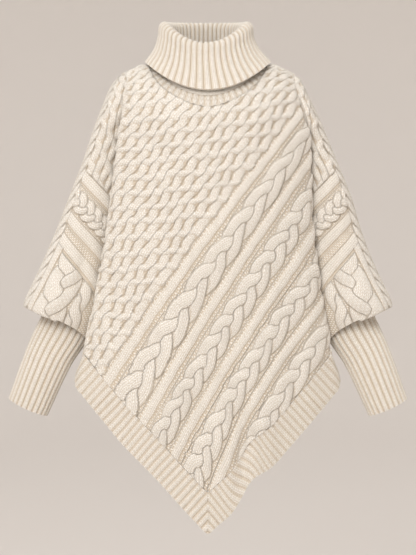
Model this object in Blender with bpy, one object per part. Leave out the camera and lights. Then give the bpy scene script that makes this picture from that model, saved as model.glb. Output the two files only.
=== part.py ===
"""Cable knit poncho sweater with bat-wing sleeves, long ribbed cuffs and a turned-down turtleneck.

It is filled out as if worn, and hollow. The origin is the middle of the neck opening at the height
of the shoulders, +X runs to the viewer's right, the front faces -Y and +Z is up. Lengths are metres.

Each piece is knitted flat on a grid whose columns and rows follow its own stitches, trimmed to its
outline, given a wall, and then draped. Cables, ridges and ribs are raised in the wall's outer points;
its inner face is plain.
"""

import functools
import math

import bmesh
import bpy
from mathutils import Vector

# ---- cloth -------------------------------------------------------------------------------------

WALL = 0.003                # plain knit between the cables
SEAM_GAP = 0.0003           # clearance between two pieces along a seam
SNAP = 0.0035               # a grid point this near a trim line is moved onto it
SNAP_SLOPE = 0.2            # but not where the line's function is flatter than this
TRIM_STEP = 1e-4            # step over which that slope is taken
ON_LINE = 1e-3              # tolerance for a point on a line of the grid

CABLE_RISE = 0.0052
RIDGE_RISE = 0.0036
TRELLIS_RISE = 0.0034
RIB_RISE = 0.0024

# ---- knitting pattern --------------------------------------------------------------------------

ROW_STEP = 0.0215           # rows of grid points along the cables
ROWS_PER_CROSSING = 3       # a cable's strands cross every third row
TRELLIS_PER_REPEAT = 4.5    # trellis columns in the width of one cable repeat
TRELLIS_REPEATS = 5         # the trellis runs this many repeat widths up from the first ridge
CABLE_REPEATS = 6           # and the cables this many down from it
GRID_ROWS = 38
ROWS_IN_HEM = 5             # rows that start below the hem seam and are trimmed off
SIDE_CALM = 0.045           # the relief fades out this far from a side seam
SLOPE_STEP = 4e-4           # step over which a surface's slope is taken

# Grid columns of one cable repeat: place across the repeat, and what is knitted there.
CABLE_COLUMNS = (
    ("place", "stitch"),
    (0.00, "ridge"), (0.14, "purl"), (0.34, "left"), (0.50, "middle"), (0.66, "right"), (0.86, "purl"),
)

# The wales (lines of stitches) of the front start on the hem seam and turn as they rise.
# foot is measured along the left hem seam from its side end, heading from +X, turn clockwise.
WALE_GUIDES = (
    ("repeat", "foot", "heading", "turn_per_metre"),
    (-5.0, -0.416, 52.0, 20.0),
    (-2.0, -0.136, 56.0, 17.0),
    (0.0, 0.0517, 58.1, 13.1),
    (1.0, 0.1508, 62.1, 16.6),
    (2.0, 0.2343, 62.7, 23.0),
    (3.0, 0.340, 74.0, 70.0),
    (6.0, 0.618, 80.0, 70.0),
)

# ---- body --------------------------------------------------------------------------------------

SHOULDER_POINT = 0.165      # half width at the shoulder point, where the sleeve starts
SHOULDER_HEIGHT = 0.0125
SHOULDER_SLOPE = 0.5
NECK_SIDE_HEIGHT = 0.032    # the shoulder seam's height beside the neck
SHOULDER_ROUND = 0.10       # drop from the shoulder seam to the upright front
SHOULDER_LENGTH = 0.15      # the same stretch measured along the cloth
FRONT_POWER = 2.6           # how squarely the front turns to its side folds
BACK_POWER = 3.4

NECK_WIDTH = 0.094          # half width of the neck seam
NECK_FRONT = -0.092
NECK_BACK = 0.076
NECK_MIDDLE = (NECK_FRONT + NECK_BACK) / 2

# Half sections of the body: folds of the front and overarm edges of the sleeves.
SIDES = (
    ("level", "left_fold", "left_over", "right_fold", "right_over"),
    (0.0125, 0.163, 0.165, 0.165, 0.165),
    (0.000, 0.155, 0.179, 0.165, 0.176),
    (-0.040, 0.154, 0.196, 0.169, 0.196),
    (-0.085, 0.158, 0.2127, 0.179, 0.2156),
    (-0.150, 0.165, 0.2355, 0.184, 0.243),
    (-0.215, 0.172, 0.261, 0.184, 0.2697),
    (-0.275, 0.180, 0.2845, 0.189, 0.2875),
    (-0.340, 0.191, 0.313, 0.196, 0.313),
    (-0.415, 0.2045, 0.349, 0.207, 0.349),
    (-0.490, 0.220, 0.385, 0.2185, 0.385),
    (-0.585, 0.237, 0.430, 0.2345, 0.430),
)

DEPTHS = (
    ("level", "front", "fold", "back"),
    (0.0125, 0.088, 0.045, 0.100),
    (-0.020, 0.103, 0.047, 0.112),
    (-0.080, 0.116, 0.050, 0.119),
    (-0.200, 0.127, 0.055, 0.121),
    (-0.350, 0.131, 0.058, 0.119),
    (-0.580, 0.128, 0.060, 0.113),
    (-0.840, 0.122, 0.060, 0.108),
)

# Where the front's edge ends behind its fold: measured outward and backward from the fold, and
# the way the cloth runs there. Down to the underarm it curls in to the sleeve seam; below, it
# runs out to the side seam. seam_x and seam_y are the back's edge, bend is the radius of the
# sleeve's first turn, and the eases are what edges lose where the pieces meet in a point.
SEAMS = (
    ("level", "curl_out", "curl_back", "way_out", "way_back", "seam_x", "seam_y", "bend", "ease",
     "sleeve_ease"),
    (0.0125, 0.0020, 0.002, 0.80, 0.6, 0.165, 0.050, 0.0010, 0.0100, -0.011),
    (-0.015, 0.0030, 0.006, 0.70, 0.7, 0.168, 0.053, 0.0020, 0.0100, -0.014),
    (-0.060, 0.0030, 0.018, 0.00, 0.9, 0.175, 0.055, 0.0035, 0.0003, 0.0003),
    (-0.105, 0.0000, 0.025, -1.00, 0.1, 0.181, 0.057, 0.0065, 0.0003, 0.0003),
    (-0.200, -0.004, 0.026, -1.00, 0.0, 0.200, 0.060, 0.0070, 0.0003, 0.0003),
    (-0.360, -0.004, 0.027, -1.00, 0.0, 0.234, 0.061, 0.0070, 0.0006, 0.0010),
    (-0.430, -0.007, 0.032, -1.00, 0.1, 0.240, 0.048, 0.0040, 0.0010, 0.003),
    (-0.500, -0.016, 0.055, -0.20, 1.0, 0.205, -0.004, 0.0020, 0.0030, 0.012),
    (-0.545, 0.020, 0.060, 0.30, 1.0, 0.252, 0.000, 0.0010, 0.0003, 0.012),
    (-0.640, 0.022, 0.060, 0.20, 1.0, 0.262, 0.000, 0.0010, 0.0003, 0.012),
)
BACK_EASE = 0.003           # the most that the back loses there
CURL_HANDLE = 0.62          # how far the front's curl keeps its direction, of its reach
CURL_LINES = (0.0, 0.009, 0.018, 0.028, 0.042, 0.056)   # grid lines that follow the front's fold
FIRST_TURN_LINES = (0.007, 0.014, 0.021, 0.028)     # grid lines that follow that turn
NARROW_BEND = 0.0060        # a first turn tighter than this is left out of the sleeve

# How far the sleeve stands out in front and behind between its seams, and where its edge lies.
SLEEVE_SWELL = (
    ("level", "swell", "round_over", "over_back"),
    (0.0125, 0.004, 0.020, 0.010),
    (-0.050, 0.014, 0.034, 0.010),
    (-0.200, 0.030, 0.044, 0.008),
    (-0.340, 0.045, 0.050, 0.004),
    (-0.420, 0.070, 0.060, 0.000),
    (-0.500, 0.075, 0.064, -0.004),
)

SWELL_OUT = 0.45            # where it stands out, as a share of its width
BACK_SWELL = 0.6            # its swell behind, of that in front
MOST_ROUND = 0.7            # most of its width that may round over to the edge
TURN_FACETS, SECTION_FACETS = 6, 12

# ---- hem ---------------------------------------------------------------------------------------

HEM_TIP = -0.8345
HEM_SLOPE = 1.075
HEM_BAND = 0.054
HEM_COLUMN = 0.0061         # half a rib
HEM_ROWS = 2
HEM_LENGTH = 0.46           # band as knitted, before it is trimmed
HEM_SPARE = 0.04            # of that beyond the mitre
HEM_MARGIN = 0.002          # cloth trimmed off along both edges of the band
HEM_FINE = 0.060            # the band's inner face is fine this far from the side seam
HEM_CALM = 0.03             # and its relief fades out over this
BAND_CLEAR = 0.0006         # between a panel and its hem band, whose edges have unlike steps
BAND_CLEAR_ROUND = 0.0022   # and this much more where they turn round the side
FOLD_START = 0.200
FINE_HEM = 0.022            # above its seam a panel's inner face keeps all its lines
FRONT_FINE, BACK_FINE = 0.075, 0.080        # and this far from its side seams
BACK_TIP = -0.7870
BACK_SLOPE = 1.077
HEM_RIB_LEAN = math.radians(6)

# ---- sleeve end and cuff -----------------------------------------------------------------------

SLEEVE_ROW = 0.0205
SLEEVE_COLUMN = 0.0185
SLEEVE_COLUMNS = 13         # on each side of the overarm edge
SLEEVE_ROWS = 37
ROWS_ABOVE_RIDGE = 12       # of those above the first ridge
SLEEVE_TOP = 0.013          # cloth between the shoulder point and the sleeve's top
SLEEVE_ROW_SLOPE = 0.733    # the sleeve's rows fall this much for each metre from the overarm edge
SLEEVE_BAND = 0.040         # width of the trellis along the overarm edge
FIRST_SLEEVE_RIDGE = -0.148
TURN_IN = 0.042             # cloth from the blouse fold up to the cuff's top
TURN_IN_TO = 0.53           # share of the way round to the body at which the turned-in cloth ends
TURN_IN_FADE = 0.13
TURN_IN_LINES = (0.0, 0.2, 0.4, 0.6, 0.8)   # shares of the turned-in cloth where it may bend
FOLD_SEARCH = 0.16          # the blouse fold lies at most this far up the cloth
FOLD_STEP = 0.003           # cloth over which its direction at the fold is taken
FOLD_HANDLE, SEAT_HANDLE = 0.45, 0.35       # how far it keeps its direction at either end
SEAT_STATION = 0.06         # where on the cuff it ends
SEAT_STEP = 0.02
FIRST_TURN_FROM = -0.06     # the front seam's first turn grows below this level
FIRST_TURN_GROWTH = 0.03
FIRST_TURN_BEYOND = 0.05
TIGHT_BEND = 0.0025         # a bend this far below NARROW_BEND takes its whole ease

# Where the sleeve's inner face is fine, and where its relief starts and fades.
SLEEVE_FINE = {"seam": 0.034, "fold": 0.030, "overarm": 0.055, "top": -0.04}
SLEEVE_CALM = {"seam_from": 0.028, "seam": 0.03, "fold": 0.02}

# The blouse fold, where the sleeve turns up inside itself.
SLEEVE_END = (
    ("x", "level"),
    (0.190, -0.530), (0.212, -0.503), (0.222, -0.4906), (0.237, -0.471), (0.254, -0.4555),
    (0.286, -0.4365), (0.314, -0.424), (0.335, -0.4165), (0.349, -0.4148), (0.400, -0.4148),
)

CUFF_LEAN = math.radians(25)    # the cuff's rings are tipped up at their outer side
CUFF = (
    ("station", "x", "y", "level", "half_width", "half_depth"),
    (0.00, 0.2560, 0.004, -0.424, 0.0450, 0.0290),
    (0.25, 0.2750, -0.006, -0.466, 0.0465, 0.0310),
    (0.50, 0.3005, -0.021, -0.512, 0.0425, 0.0310),
    (1.00, 0.3394, -0.048, -0.606, 0.0374, 0.0285),
)
CUFF_RIBS = 22
CUFF_CLEAR = 0.0016         # from a rib's crest to the sleeve's turned-in edge
CUFF_ROWS = 3

# ---- turtleneck --------------------------------------------------------------------------------

COLLAR_RIBS = 50
# Sections of the turned-down tube from the neck seam up inside, over the rim and down outside.
# front, side and back are heights; width, to_front and to_back are its half sizes there.
COLLAR = (
    ("part", "width", "to_front", "to_back", "front", "side", "back"),
    (0.00, 0.0900, 0.0800, 0.0800, -0.0240, 0.0300, -0.0050),
    (0.10, 0.0800, 0.0720, 0.0760, -0.0060, 0.0470, 0.0220),
    (0.25, 0.0690, 0.0520, 0.0720, 0.0300, 0.0750, 0.0660),
    (0.38, 0.0670, 0.0460, 0.0730, 0.0570, 0.0990, 0.0980),
    (0.46, 0.0700, 0.0480, 0.0760, 0.0690, 0.1090, 0.1105),
    (0.52, 0.0780, 0.0560, 0.0830, 0.0725, 0.1120, 0.1135),
    (0.58, 0.0850, 0.0635, 0.0900, 0.0660, 0.1060, 0.1070),
    (0.68, 0.0870, 0.0700, 0.0930, 0.0480, 0.0880, 0.0870),
    (0.82, 0.0960, 0.0820, 0.0980, 0.0200, 0.0640, 0.0560),
    (1.00, 0.1160, 0.0970, 0.1120, -0.0118, 0.0385, 0.0200),
)
COLLAR_LEAN = -0.004        # the neck leans this far to the viewer's left at its rim
LEAN_FROM, LEAN_TO = 0.25, 0.7  # parts of the tube between which it leans so far
COLLAR_ROWS = 8
COLLAR_DROP = 0.0025        # the tube's lower edge lies this far below the body's neck edge
COLLAR_SETTLE = 0.22        # part of the tube over which that edge eases into the sections
LOWEST_NECK = -0.12         # the neck edge is looked for above this height on the cloth
TUBE_STEP = 1e-3            # share of a tube over which its slope is taken

# ---- materials: base colour, roughness ---------------------------------------------------------

WOOL = (0.86, 0.78, 0.66)
WOOL_ROUGHNESS = 0.92


# ---- reading the tables ------------------------------------------------------------------------

def read(table, column, key):
    """The value of a named column at a key, on a smooth curve through the table's rows."""
    place = table[0].index(column)
    rows = sorted(table[1:], key=lambda row: row[0])
    if key <= rows[0][0]:
        return rows[0][place]
    if key >= rows[-1][0]:
        return rows[-1][place]
    upper = next(i for i, row in enumerate(rows) if row[0] >= key)
    low, high = rows[upper - 1], rows[upper]
    span = high[0] - low[0]
    chord = (high[place] - low[place]) / span
    before = rows[max(upper - 2, 0)]
    after = rows[min(upper + 1, len(rows) - 1)]
    leave = (high[place] - before[place]) / (high[0] - before[0])
    arrive = (after[place] - low[place]) / (after[0] - low[0])
    t = (key - low[0]) / span
    bend = t * (1 - t)
    return (low[place] + t * (high[place] - low[place])
            + bend * span * ((1 - t) * (leave - chord) - t * (arrive - chord)))


def smooth(t):
    """A soft step from 0 to 1."""
    t = min(max(t, 0.0), 1.0)
    return t * t * (3 - 2 * t)


def bezier(points, t):
    """A point of the cubic curve through four control points."""
    a, b, c, d = points
    u = 1 - t
    return a * u ** 3 + b * 3 * u * u * t + c * 3 * u * t * t + d * t ** 3


# ---- the body's form ---------------------------------------------------------------------------

def shoulder_seam(x):
    """Height of the shoulder seam's line at a distance from the middle."""
    return min(SHOULDER_HEIGHT + SHOULDER_SLOPE * (SHOULDER_POINT - abs(x)), NECK_SIDE_HEIGHT)


def over_shoulder(x, height, drop):
    """How far the cloth has come down, and how full it stands, at a height measured on the cloth."""
    seam = shoulder_seam(x)
    along = seam + SHOULDER_LENGTH - drop - height
    angle = min(along / SHOULDER_LENGTH, 1) * math.pi / 2
    down = drop * (1 - math.cos(angle)) + max(along - SHOULDER_LENGTH, 0)
    return seam - down, math.sin(angle)


def level_of(height):
    """The height in the air of cloth at the shoulder point's line."""
    return over_shoulder(SHOULDER_POINT, height, SHOULDER_ROUND)[0]


def fold_of(side, level):
    """Distance of the front's side fold from the middle."""
    return read(SIDES, "left_fold" if side < 0 else "right_fold", level)


def front_curl(side, level):
    """The front's edge behind its fold: a curve in plan for the right side."""
    fold = Vector((fold_of(side, level), -read(DEPTHS, "fold", level)))
    depth = read(DEPTHS, "front", level)
    slope = Vector((1, FRONT_POWER * (depth + fold.y) / fold.x)).normalized()
    reach = Vector((read(SEAMS, "curl_out", level), read(SEAMS, "curl_back", level)))
    way = Vector((read(SEAMS, "way_out", level), read(SEAMS, "way_back", level))).normalized()
    handle = CURL_HANDLE * reach.length
    end = fold + reach
    return fold, fold + slope * handle, end - way * handle, end


def curl_length(curl):
    points = [bezier(curl, i / 8) for i in range(9)]
    return sum((b - a).length for a, b in zip(points, points[1:]))


def front_point(across, height):
    """A point of the front, from its place on the flat cloth."""
    side = -1 if across < 0 else 1
    level = level_of(height)
    curl = front_curl(side, level)
    fold, out = curl[0], abs(across)
    if out <= fold.x:
        depth = read(DEPTHS, "front", level)
        plan = Vector((out, -(depth - (depth + fold.y) * (out / fold.x) ** FRONT_POWER)))
    else:
        plan = bezier(curl, (out - fold.x) / curl_length(curl))
    z, full = over_shoulder(plan.x, height, SHOULDER_ROUND)
    return Vector((side * plan.x, plan.y * full - SEAM_GAP / 2, z))


def back_point(across, height):
    """A point of the back, from its place on the flat cloth."""
    side = -1 if across < 0 else 1
    level = level_of(height)
    edge_x, edge_y = read(SEAMS, "seam_x", level), read(SEAMS, "seam_y", level)
    depth = read(DEPTHS, "back", level)
    x = abs(across)
    y = depth - (depth - edge_y) * (x / edge_x) ** BACK_POWER
    z, full = over_shoulder(x, height, SHOULDER_ROUND)
    return Vector((side * x, y * full + SEAM_GAP / 2, z))


def first_turn(side, level, bend, leave):
    """The arc by which the sleeve turns from the way the front's edge runs to the way it leaves."""
    heading = math.atan2(read(SEAMS, "way_back", level), read(SEAMS, "way_out", level)) % math.tau
    sweep = heading - math.atan2(leave.y, leave.x)
    hub = Vector((math.sin(heading), -math.cos(heading))) * bend
    return [hub + Vector((-math.sin(heading - a), math.cos(heading - a))) * bend
            for a in [sweep * i / TURN_FACETS for i in range(TURN_FACETS + 1)]]


def sleeve_section(side, level):
    """The sleeve's plan curve for the right side: front seam to overarm edge, and on to the back."""
    seam = front_curl(side, level)[3]
    bend = read(SEAMS, "bend", level)
    swell, round_over, over_back = (read(SLEEVE_SWELL, name, level)
                                    for name in ("swell", "round_over", "over_back"))
    over = Vector((read(SIDES, "left_over" if side < 0 else "right_over", level), over_back))
    back = Vector((read(SEAMS, "seam_x", level), read(SEAMS, "seam_y", level)))
    leave = Vector((SWELL_OUT * (over.x - seam.x), -swell))
    turn = [seam + step for step in first_turn(side, level, bend, leave)]
    start = turn[-1]
    round_over = min(round_over, MOST_ROUND * (over.x - start.x))
    ahead = (start, start + leave, over - Vector((0, round_over)), over)
    behind = (over, over + Vector((0, round_over)),
              back + Vector((SWELL_OUT * (over.x - back.x), BACK_SWELL * swell)), back)
    parts = [i / SECTION_FACETS for i in range(SECTION_FACETS + 1)]
    return turn[:-1] + [bezier(ahead, part) for part in parts], [bezier(behind, part) for part in parts]


def run_length(points):
    return sum((b - a).length for a, b in zip(points, points[1:]))


def walk(points, distance):
    """The point at a distance along a run of points."""
    for a, b in zip(points, points[1:]):
        step = (b - a).length
        if distance <= step and step > 0:
            return a + (b - a) * (distance / step)
        distance -= step
    last = (points[-1] - points[-2]).normalized() if points[-1] != points[-2] else Vector((0, 0))
    return points[-1] + last * distance


def sleeve_halves(side, height):
    """Cloth from the overarm edge to the front seam and to the back seam at a height."""
    front_half, back_half = sleeve_section(side, level_of(height))
    return run_length(front_half), run_length(back_half)


def sleeve_wall(side, around, height):
    """A point of the sleeve above its blouse fold; around is negative in front."""
    front_half, back_half = sleeve_section(side, level_of(height))
    plan = walk(front_half[::-1] if around < 0 else back_half, abs(around))
    z, full = over_shoulder(plan.x, height, SHOULDER_ROUND)
    return Vector((side * plan.x, plan.y * full, z))


def cuff_ring(side, station, angle, proud=0.0):
    """A point of the cuff; the angle runs from its outer side, and is negative in front."""
    middle = Vector([read(CUFF, name, station) for name in ("x", "y", "level")])
    out = Vector((math.cos(CUFF_LEAN), 0, math.sin(CUFF_LEAN)))
    wide = read(CUFF, "half_width", station) + proud
    deep = read(CUFF, "half_depth", station) + proud
    point = middle + out * wide * math.cos(angle) + Vector((0, 1, 0)) * deep * math.sin(angle)
    point.x *= side
    return point


def sleeve_point(side, around, height):
    """A point of the sleeve, with its end turned up inside to meet the cuff."""
    point = sleeve_wall(side, around, height)
    if point.z >= read(SLEEVE_END, "level", abs(point.x)):
        return point
    share = around / sleeve_halves(side, height)[around > 0]

    def wall_at(level):
        return sleeve_wall(side, share * sleeve_halves(side, level)[around > 0], level)

    low, high = height, height + FOLD_SEARCH
    for _ in range(22):
        middle = (low + high) / 2
        fold = wall_at(middle)
        if fold.z < read(SLEEVE_END, "level", abs(fold.x)):
            low = middle
        else:
            high = middle
    down = (fold - wall_at(high + FOLD_STEP)).normalized()
    angle = math.pi * share
    seat = cuff_ring(side, SEAT_STATION, angle, RIB_RISE + CUFF_CLEAR)
    outward = (cuff_ring(side, SEAT_STATION, angle, SEAT_STEP) - seat).normalized()
    reach = (seat - fold).length
    curve = (fold, fold + down * FOLD_HANDLE * reach, seat + outward * SEAT_HANDLE * reach, seat)
    below = read(SLEEVE_END, "level", abs(point.x)) - point.z
    return bezier(curve, min(below / TURN_IN, 1.0))


# ---- flat knitting -----------------------------------------------------------------------------

def knit_grid(columns, rows, lay):
    """A flat grid; lay(column, row) gives each point's place on the cloth and its relief."""
    bm = bmesh.new()
    bmesh.ops.create_grid(bm, x_segments=columns, y_segments=rows, size=0.5)
    layers = {name: bm.verts.layers.float.new(name) for name in ("column", "row", "relief")}
    for vert in bm.verts:
        column = round((vert.co.x + 0.5) * columns)
        row = round((vert.co.y + 0.5) * rows)
        x, y, relief = lay(column, row)
        vert[layers["column"]], vert[layers["row"]], vert[layers["relief"]] = column, row, relief
        vert.co = (x, y, 0)
    return bm


def trim(bm, keep, clear=True):
    """Cut the flat cloth along the line where keep(x, y) is zero, and drop what is below zero."""
    step = TRIM_STEP
    for vert in bm.verts:
        x, y = vert.co.x, vert.co.y
        value = keep(x, y)
        if abs(value) < SNAP and not vert.is_boundary:
            slope = Vector((keep(x + step, y) - value, keep(x, y + step) - value)) / step
            if slope.length > SNAP_SLOPE:
                move = -slope * (value / slope.length_squared)
                vert.co.x += move.x
                vert.co.y += move.y
                value = 0.0
        vert.co.z = value
    bmesh.ops.bisect_plane(bm, geom=bm.verts[:] + bm.edges[:] + bm.faces[:], dist=2e-5,
                           plane_co=(0, 0, 0), plane_no=(0, 0, 1), clear_inner=clear)
    for vert in bm.verts:
        vert.co.z = 0


def on_odd_line(edge, layer):
    """True where an edge runs along an odd column or row of the grid."""
    a, b = (vert[layer] for vert in edge.verts)
    return abs(a - b) < ON_LINE and abs(a - round(a)) < ON_LINE and round(a) % 2 == 1


def split_along_relief(bm):
    """Cut each quad along its higher diagonal, so raised strands run along edges."""
    relief = bm.verts.layers.float["relief"]
    for face in bm.faces[:]:
        verts = face.verts[:]
        if len(verts) == 4:
            first = verts[0][relief] + verts[2][relief]
            second = verts[1][relief] + verts[3][relief]
            pair = (verts[0], verts[2]) if first >= second else (verts[1], verts[3])
            bmesh.utils.face_split(face, *pair)
    bmesh.ops.triangulate(bm, faces=bm.faces[:], quad_method="BEAUTY", ngon_method="BEAUTY")


def give_wall(bm, thinned=("column", "row"), fine=lambda x, y: False):
    """Double the cloth into a closed wall; its inner face keeps every second line of the grid."""
    split_along_relief(bm)
    inner = bm.verts.layers.int.new("inner")
    made = bmesh.ops.extrude_face_region(bm, geom=bm.faces[:], use_keep_orig=True)["geom"]
    for item in made:
        if isinstance(item, bmesh.types.BMVert):
            item[inner] = 1
    layers = [bm.verts.layers.float[name] for name in ("column", "row")]
    spare = [edge for edge in inside_edges(bm, inner)
             if thinned and not any(fine(vert.co.x, vert.co.y) for vert in edge.verts)
             and all(steps_along(edge, layer) for layer in layers)]
    bmesh.ops.dissolve_edges(bm, edges=spare, use_verts=False)
    for name in thinned:
        layer = bm.verts.layers.float[name]
        spare = [edge for edge in inside_edges(bm, inner) if on_odd_line(edge, layer)
                 and not any(fine(vert.co.x, vert.co.y) or len(vert.link_edges) == 2
                             for vert in edge.verts)]
        bmesh.ops.dissolve_edges(bm, edges=spare, use_verts=False)
        drop_idle_points(bm, inner)
    inside = [face for face in bm.faces if all(vert[inner] for vert in face.verts)]
    bmesh.ops.triangulate(bm, faces=inside, quad_method="BEAUTY", ngon_method="BEAUTY")


def drop_idle_points(bm, inner):
    """Dissolve inner points on one straight edge, unless that would double another edge."""
    for vert in [vert for vert in bm.verts if vert[inner] and len(vert.link_edges) == 2]:
        a, b = (edge.other_vert(vert) for edge in vert.link_edges)
        if not any(edge.other_vert(a) == b for edge in a.link_edges):
            bmesh.ops.dissolve_verts(bm, verts=[vert])


def inside_edges(bm, inner):
    """Edges of the inner face that don't border its rim."""
    return [edge for edge in bm.edges
            if all(all(vert[inner] for vert in face.verts) for face in edge.link_faces)]


def steps_along(edge, layer):
    """True where an edge crosses from one line of the grid towards another."""
    a, b = (vert[layer] for vert in edge.verts)
    return abs(a - b) > ON_LINE


def drape(bm, place, wall=WALL, flip=1, calm=lambda x, y: 1.0):
    """Lay the flat wall on its form; the relief stands out from it and fades where calm is below 1."""
    inner = bm.verts.layers.int["inner"]
    relief = bm.verts.layers.float["relief"]
    step = SLOPE_STEP
    goal = {}
    for vert in bm.verts:
        x, y = vert.co.x, vert.co.y
        point = place(x, y)
        along_x = place(x + step, y) - place(x - step, y)
        along_y = place(x, y + step) - place(x, y - step)
        normal = along_x.cross(along_y).normalized() * flip
        raise_by = -wall if vert[inner] else vert[relief] * calm(x, y)
        goal[vert] = point + normal * raise_by
    for vert, point in goal.items():
        vert.co = point
    face_outward(bm)


def face_outward(bm):
    """Triangles all round, pointing out of the wall."""
    bmesh.ops.triangulate(bm, faces=bm.faces[:], quad_method="BEAUTY", ngon_method="BEAUTY")
    bmesh.ops.recalc_face_normals(bm, faces=bm.faces[:])
    if bm.calc_volume(signed=True) < 0:
        bmesh.ops.reverse_faces(bm, faces=bm.faces[:])


def finish(bm, name):
    """Make the draped mesh an object with its own wool."""
    mesh = bpy.data.meshes.new(name)
    bm.to_mesh(mesh)
    bm.free()
    wool = bpy.data.materials.new(name + "_wool")
    wool.use_nodes = True
    surface = wool.node_tree.nodes["Principled BSDF"]
    surface.inputs["Base Color"].default_value = (*WOOL, 1)
    surface.inputs["Roughness"].default_value = WOOL_ROUGHNESS
    mesh.materials.append(wool)
    mesh.shade_smooth()
    mesh.set_sharp_from_angle(angle=math.radians(50))
    made = bpy.data.objects.new(name, mesh)
    bpy.context.scene.collection.objects.link(made)
    return made


# ---- stitches of the body ----------------------------------------------------------------------

def body_column(column):
    """Place across the wales, in repeats from the first ridge, and the stitch of a grid column."""
    trellis = round(TRELLIS_REPEATS * TRELLIS_PER_REPEAT)
    if column < trellis:
        return (column - trellis) / TRELLIS_PER_REPEAT, "trellis"
    columns = CABLE_COLUMNS[1:]
    repeat, index = divmod(column - trellis, len(columns))
    place, stitch = columns[index]
    return repeat + place, stitch


def cable_rise(stitch, row, repeat):
    """Height of a two-strand cable on its left, middle and right grid columns."""
    turn = math.pi * (row / ROWS_PER_CROSSING + 0.5 * (repeat % 2))
    sway = {"left": -1, "middle": 0, "right": 1}[stitch]
    rise = 0.0
    for phase in (turn, turn + math.pi):
        aside = -math.cos(phase)
        above = 0.55 + 0.45 * math.sin(phase)
        rise = max(rise, above * max(0.0, 1 - 0.75 * abs(aside - sway)))
    return CABLE_RISE * rise


def body_relief(column, row, repeat, stitch):
    if stitch == "trellis":
        return TRELLIS_RISE if (column + row) % 2 else 0.0
    if stitch == "ridge":
        return RIDGE_RISE
    if stitch == "purl":
        return 0.0
    return cable_rise(stitch, row, math.floor(repeat))


def wale(repeat, along):
    """Place on the front cloth of a stitch line, at a length along it from the hem seam."""
    foot = read(WALE_GUIDES, "foot", repeat)
    heading = math.radians(read(WALE_GUIDES, "heading", repeat))
    turn = math.radians(read(WALE_GUIDES, "turn_per_metre", repeat))
    hem = math.atan(HEM_SLOPE)
    side_x = -fold_of(-1, -0.5)
    side_y = HEM_TIP + HEM_BAND / math.cos(hem) - HEM_SLOPE * side_x
    middle = heading - turn * along / 2
    return (side_x + foot * math.cos(hem) + along * math.cos(middle),
            side_y - foot * math.sin(hem) + along * math.sin(middle))


def body_panel(name, place, mirror, tip, slope, side_room, fine_width):
    """Front or back: knitted on the bias, trimmed to shoulders, neck, sides and hem seam."""
    columns = round(TRELLIS_REPEATS * TRELLIS_PER_REPEAT) + CABLE_REPEATS * (len(CABLE_COLUMNS) - 1)

    def lay(column, row):
        repeat, stitch = body_column(column)
        x, y = wale(repeat, (row - ROWS_IN_HEM) * ROW_STEP)
        return mirror * x, y, body_relief(column, row, repeat, stitch)

    hem = math.cos(math.atan(slope))

    bm = knit_grid(columns, GRID_ROWS, lay)
    for side in (-1, 1):
        trim(bm, lambda x, y, s=side: (y - tip - slope * s * x) * hem - HEM_BAND - band_clear(x))
    trim(bm, lambda x, y: shoulder_seam(x) + SHOULDER_LENGTH - SHOULDER_ROUND - y)
    trim(bm, lambda x, y: side_room(x, y) - read(SEAMS, "ease", level_of(y)))
    trim(bm, lambda x, y: neck_room(place, x, y))
    if name == "front":
        for distance in CURL_LINES:
            trim(bm, lambda x, y, d=distance: curl_room(x, y, d), clear=False)
    give_wall(bm, fine=lambda x, y: side_room(x, y) < fine_width
              or (y - tip - slope * abs(x)) * hem < HEM_BAND + FINE_HEM)
    drape(bm, place, flip=-1 if mirror < 0 else 1,
          calm=lambda x, y: min(1.0, max(side_room(x, y), 0) / SIDE_CALM))
    return finish(bm, name)


def band_clear(x):
    """Clearance between a panel and its hem band; it grows round the side folds."""
    return BAND_CLEAR + min(max((abs(x) - FOLD_START) / 0.01, 0), 1) * BAND_CLEAR_ROUND


def front_side_room(x, height):
    """Cloth left between a point of the front and its side seam."""
    level = level_of(height)
    curl = front_curl(-1 if x < 0 else 1, level)
    return curl[0].x + curl_length(curl) - abs(x)


def curl_room(x, height, distance):
    """Cloth left before a line that follows the fold, a distance round its curl."""
    return fold_of(-1 if x < 0 else 1, level_of(height)) + distance - abs(x)


def back_side_room(x, height):
    """Cloth left between a point of the back and its side seam."""
    level = level_of(height)
    spared = max(read(SEAMS, "ease", level) - BACK_EASE, 0)
    return read(SEAMS, "seam_x", level) + spared - abs(x)


def neck_room(place, x, height):
    """How far a point of the cloth, and the inner face under it, lie outside the neck seam."""
    step = SLOPE_STEP
    point = place(x, height)
    normal = (place(x + step, height) - point).cross(place(x, height + step) - point).normalized()
    if normal.z < 0:
        normal.negate()
    deep = (NECK_BACK - NECK_FRONT) / 2
    rooms = []
    for spot in (point, point - normal * WALL):
        reach = math.hypot(spot.x / NECK_WIDTH, (spot.y - NECK_MIDDLE) / deep)
        rooms.append((reach - 1) * deep)
    return min(rooms)


# ---- hem bands ---------------------------------------------------------------------------------

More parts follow.
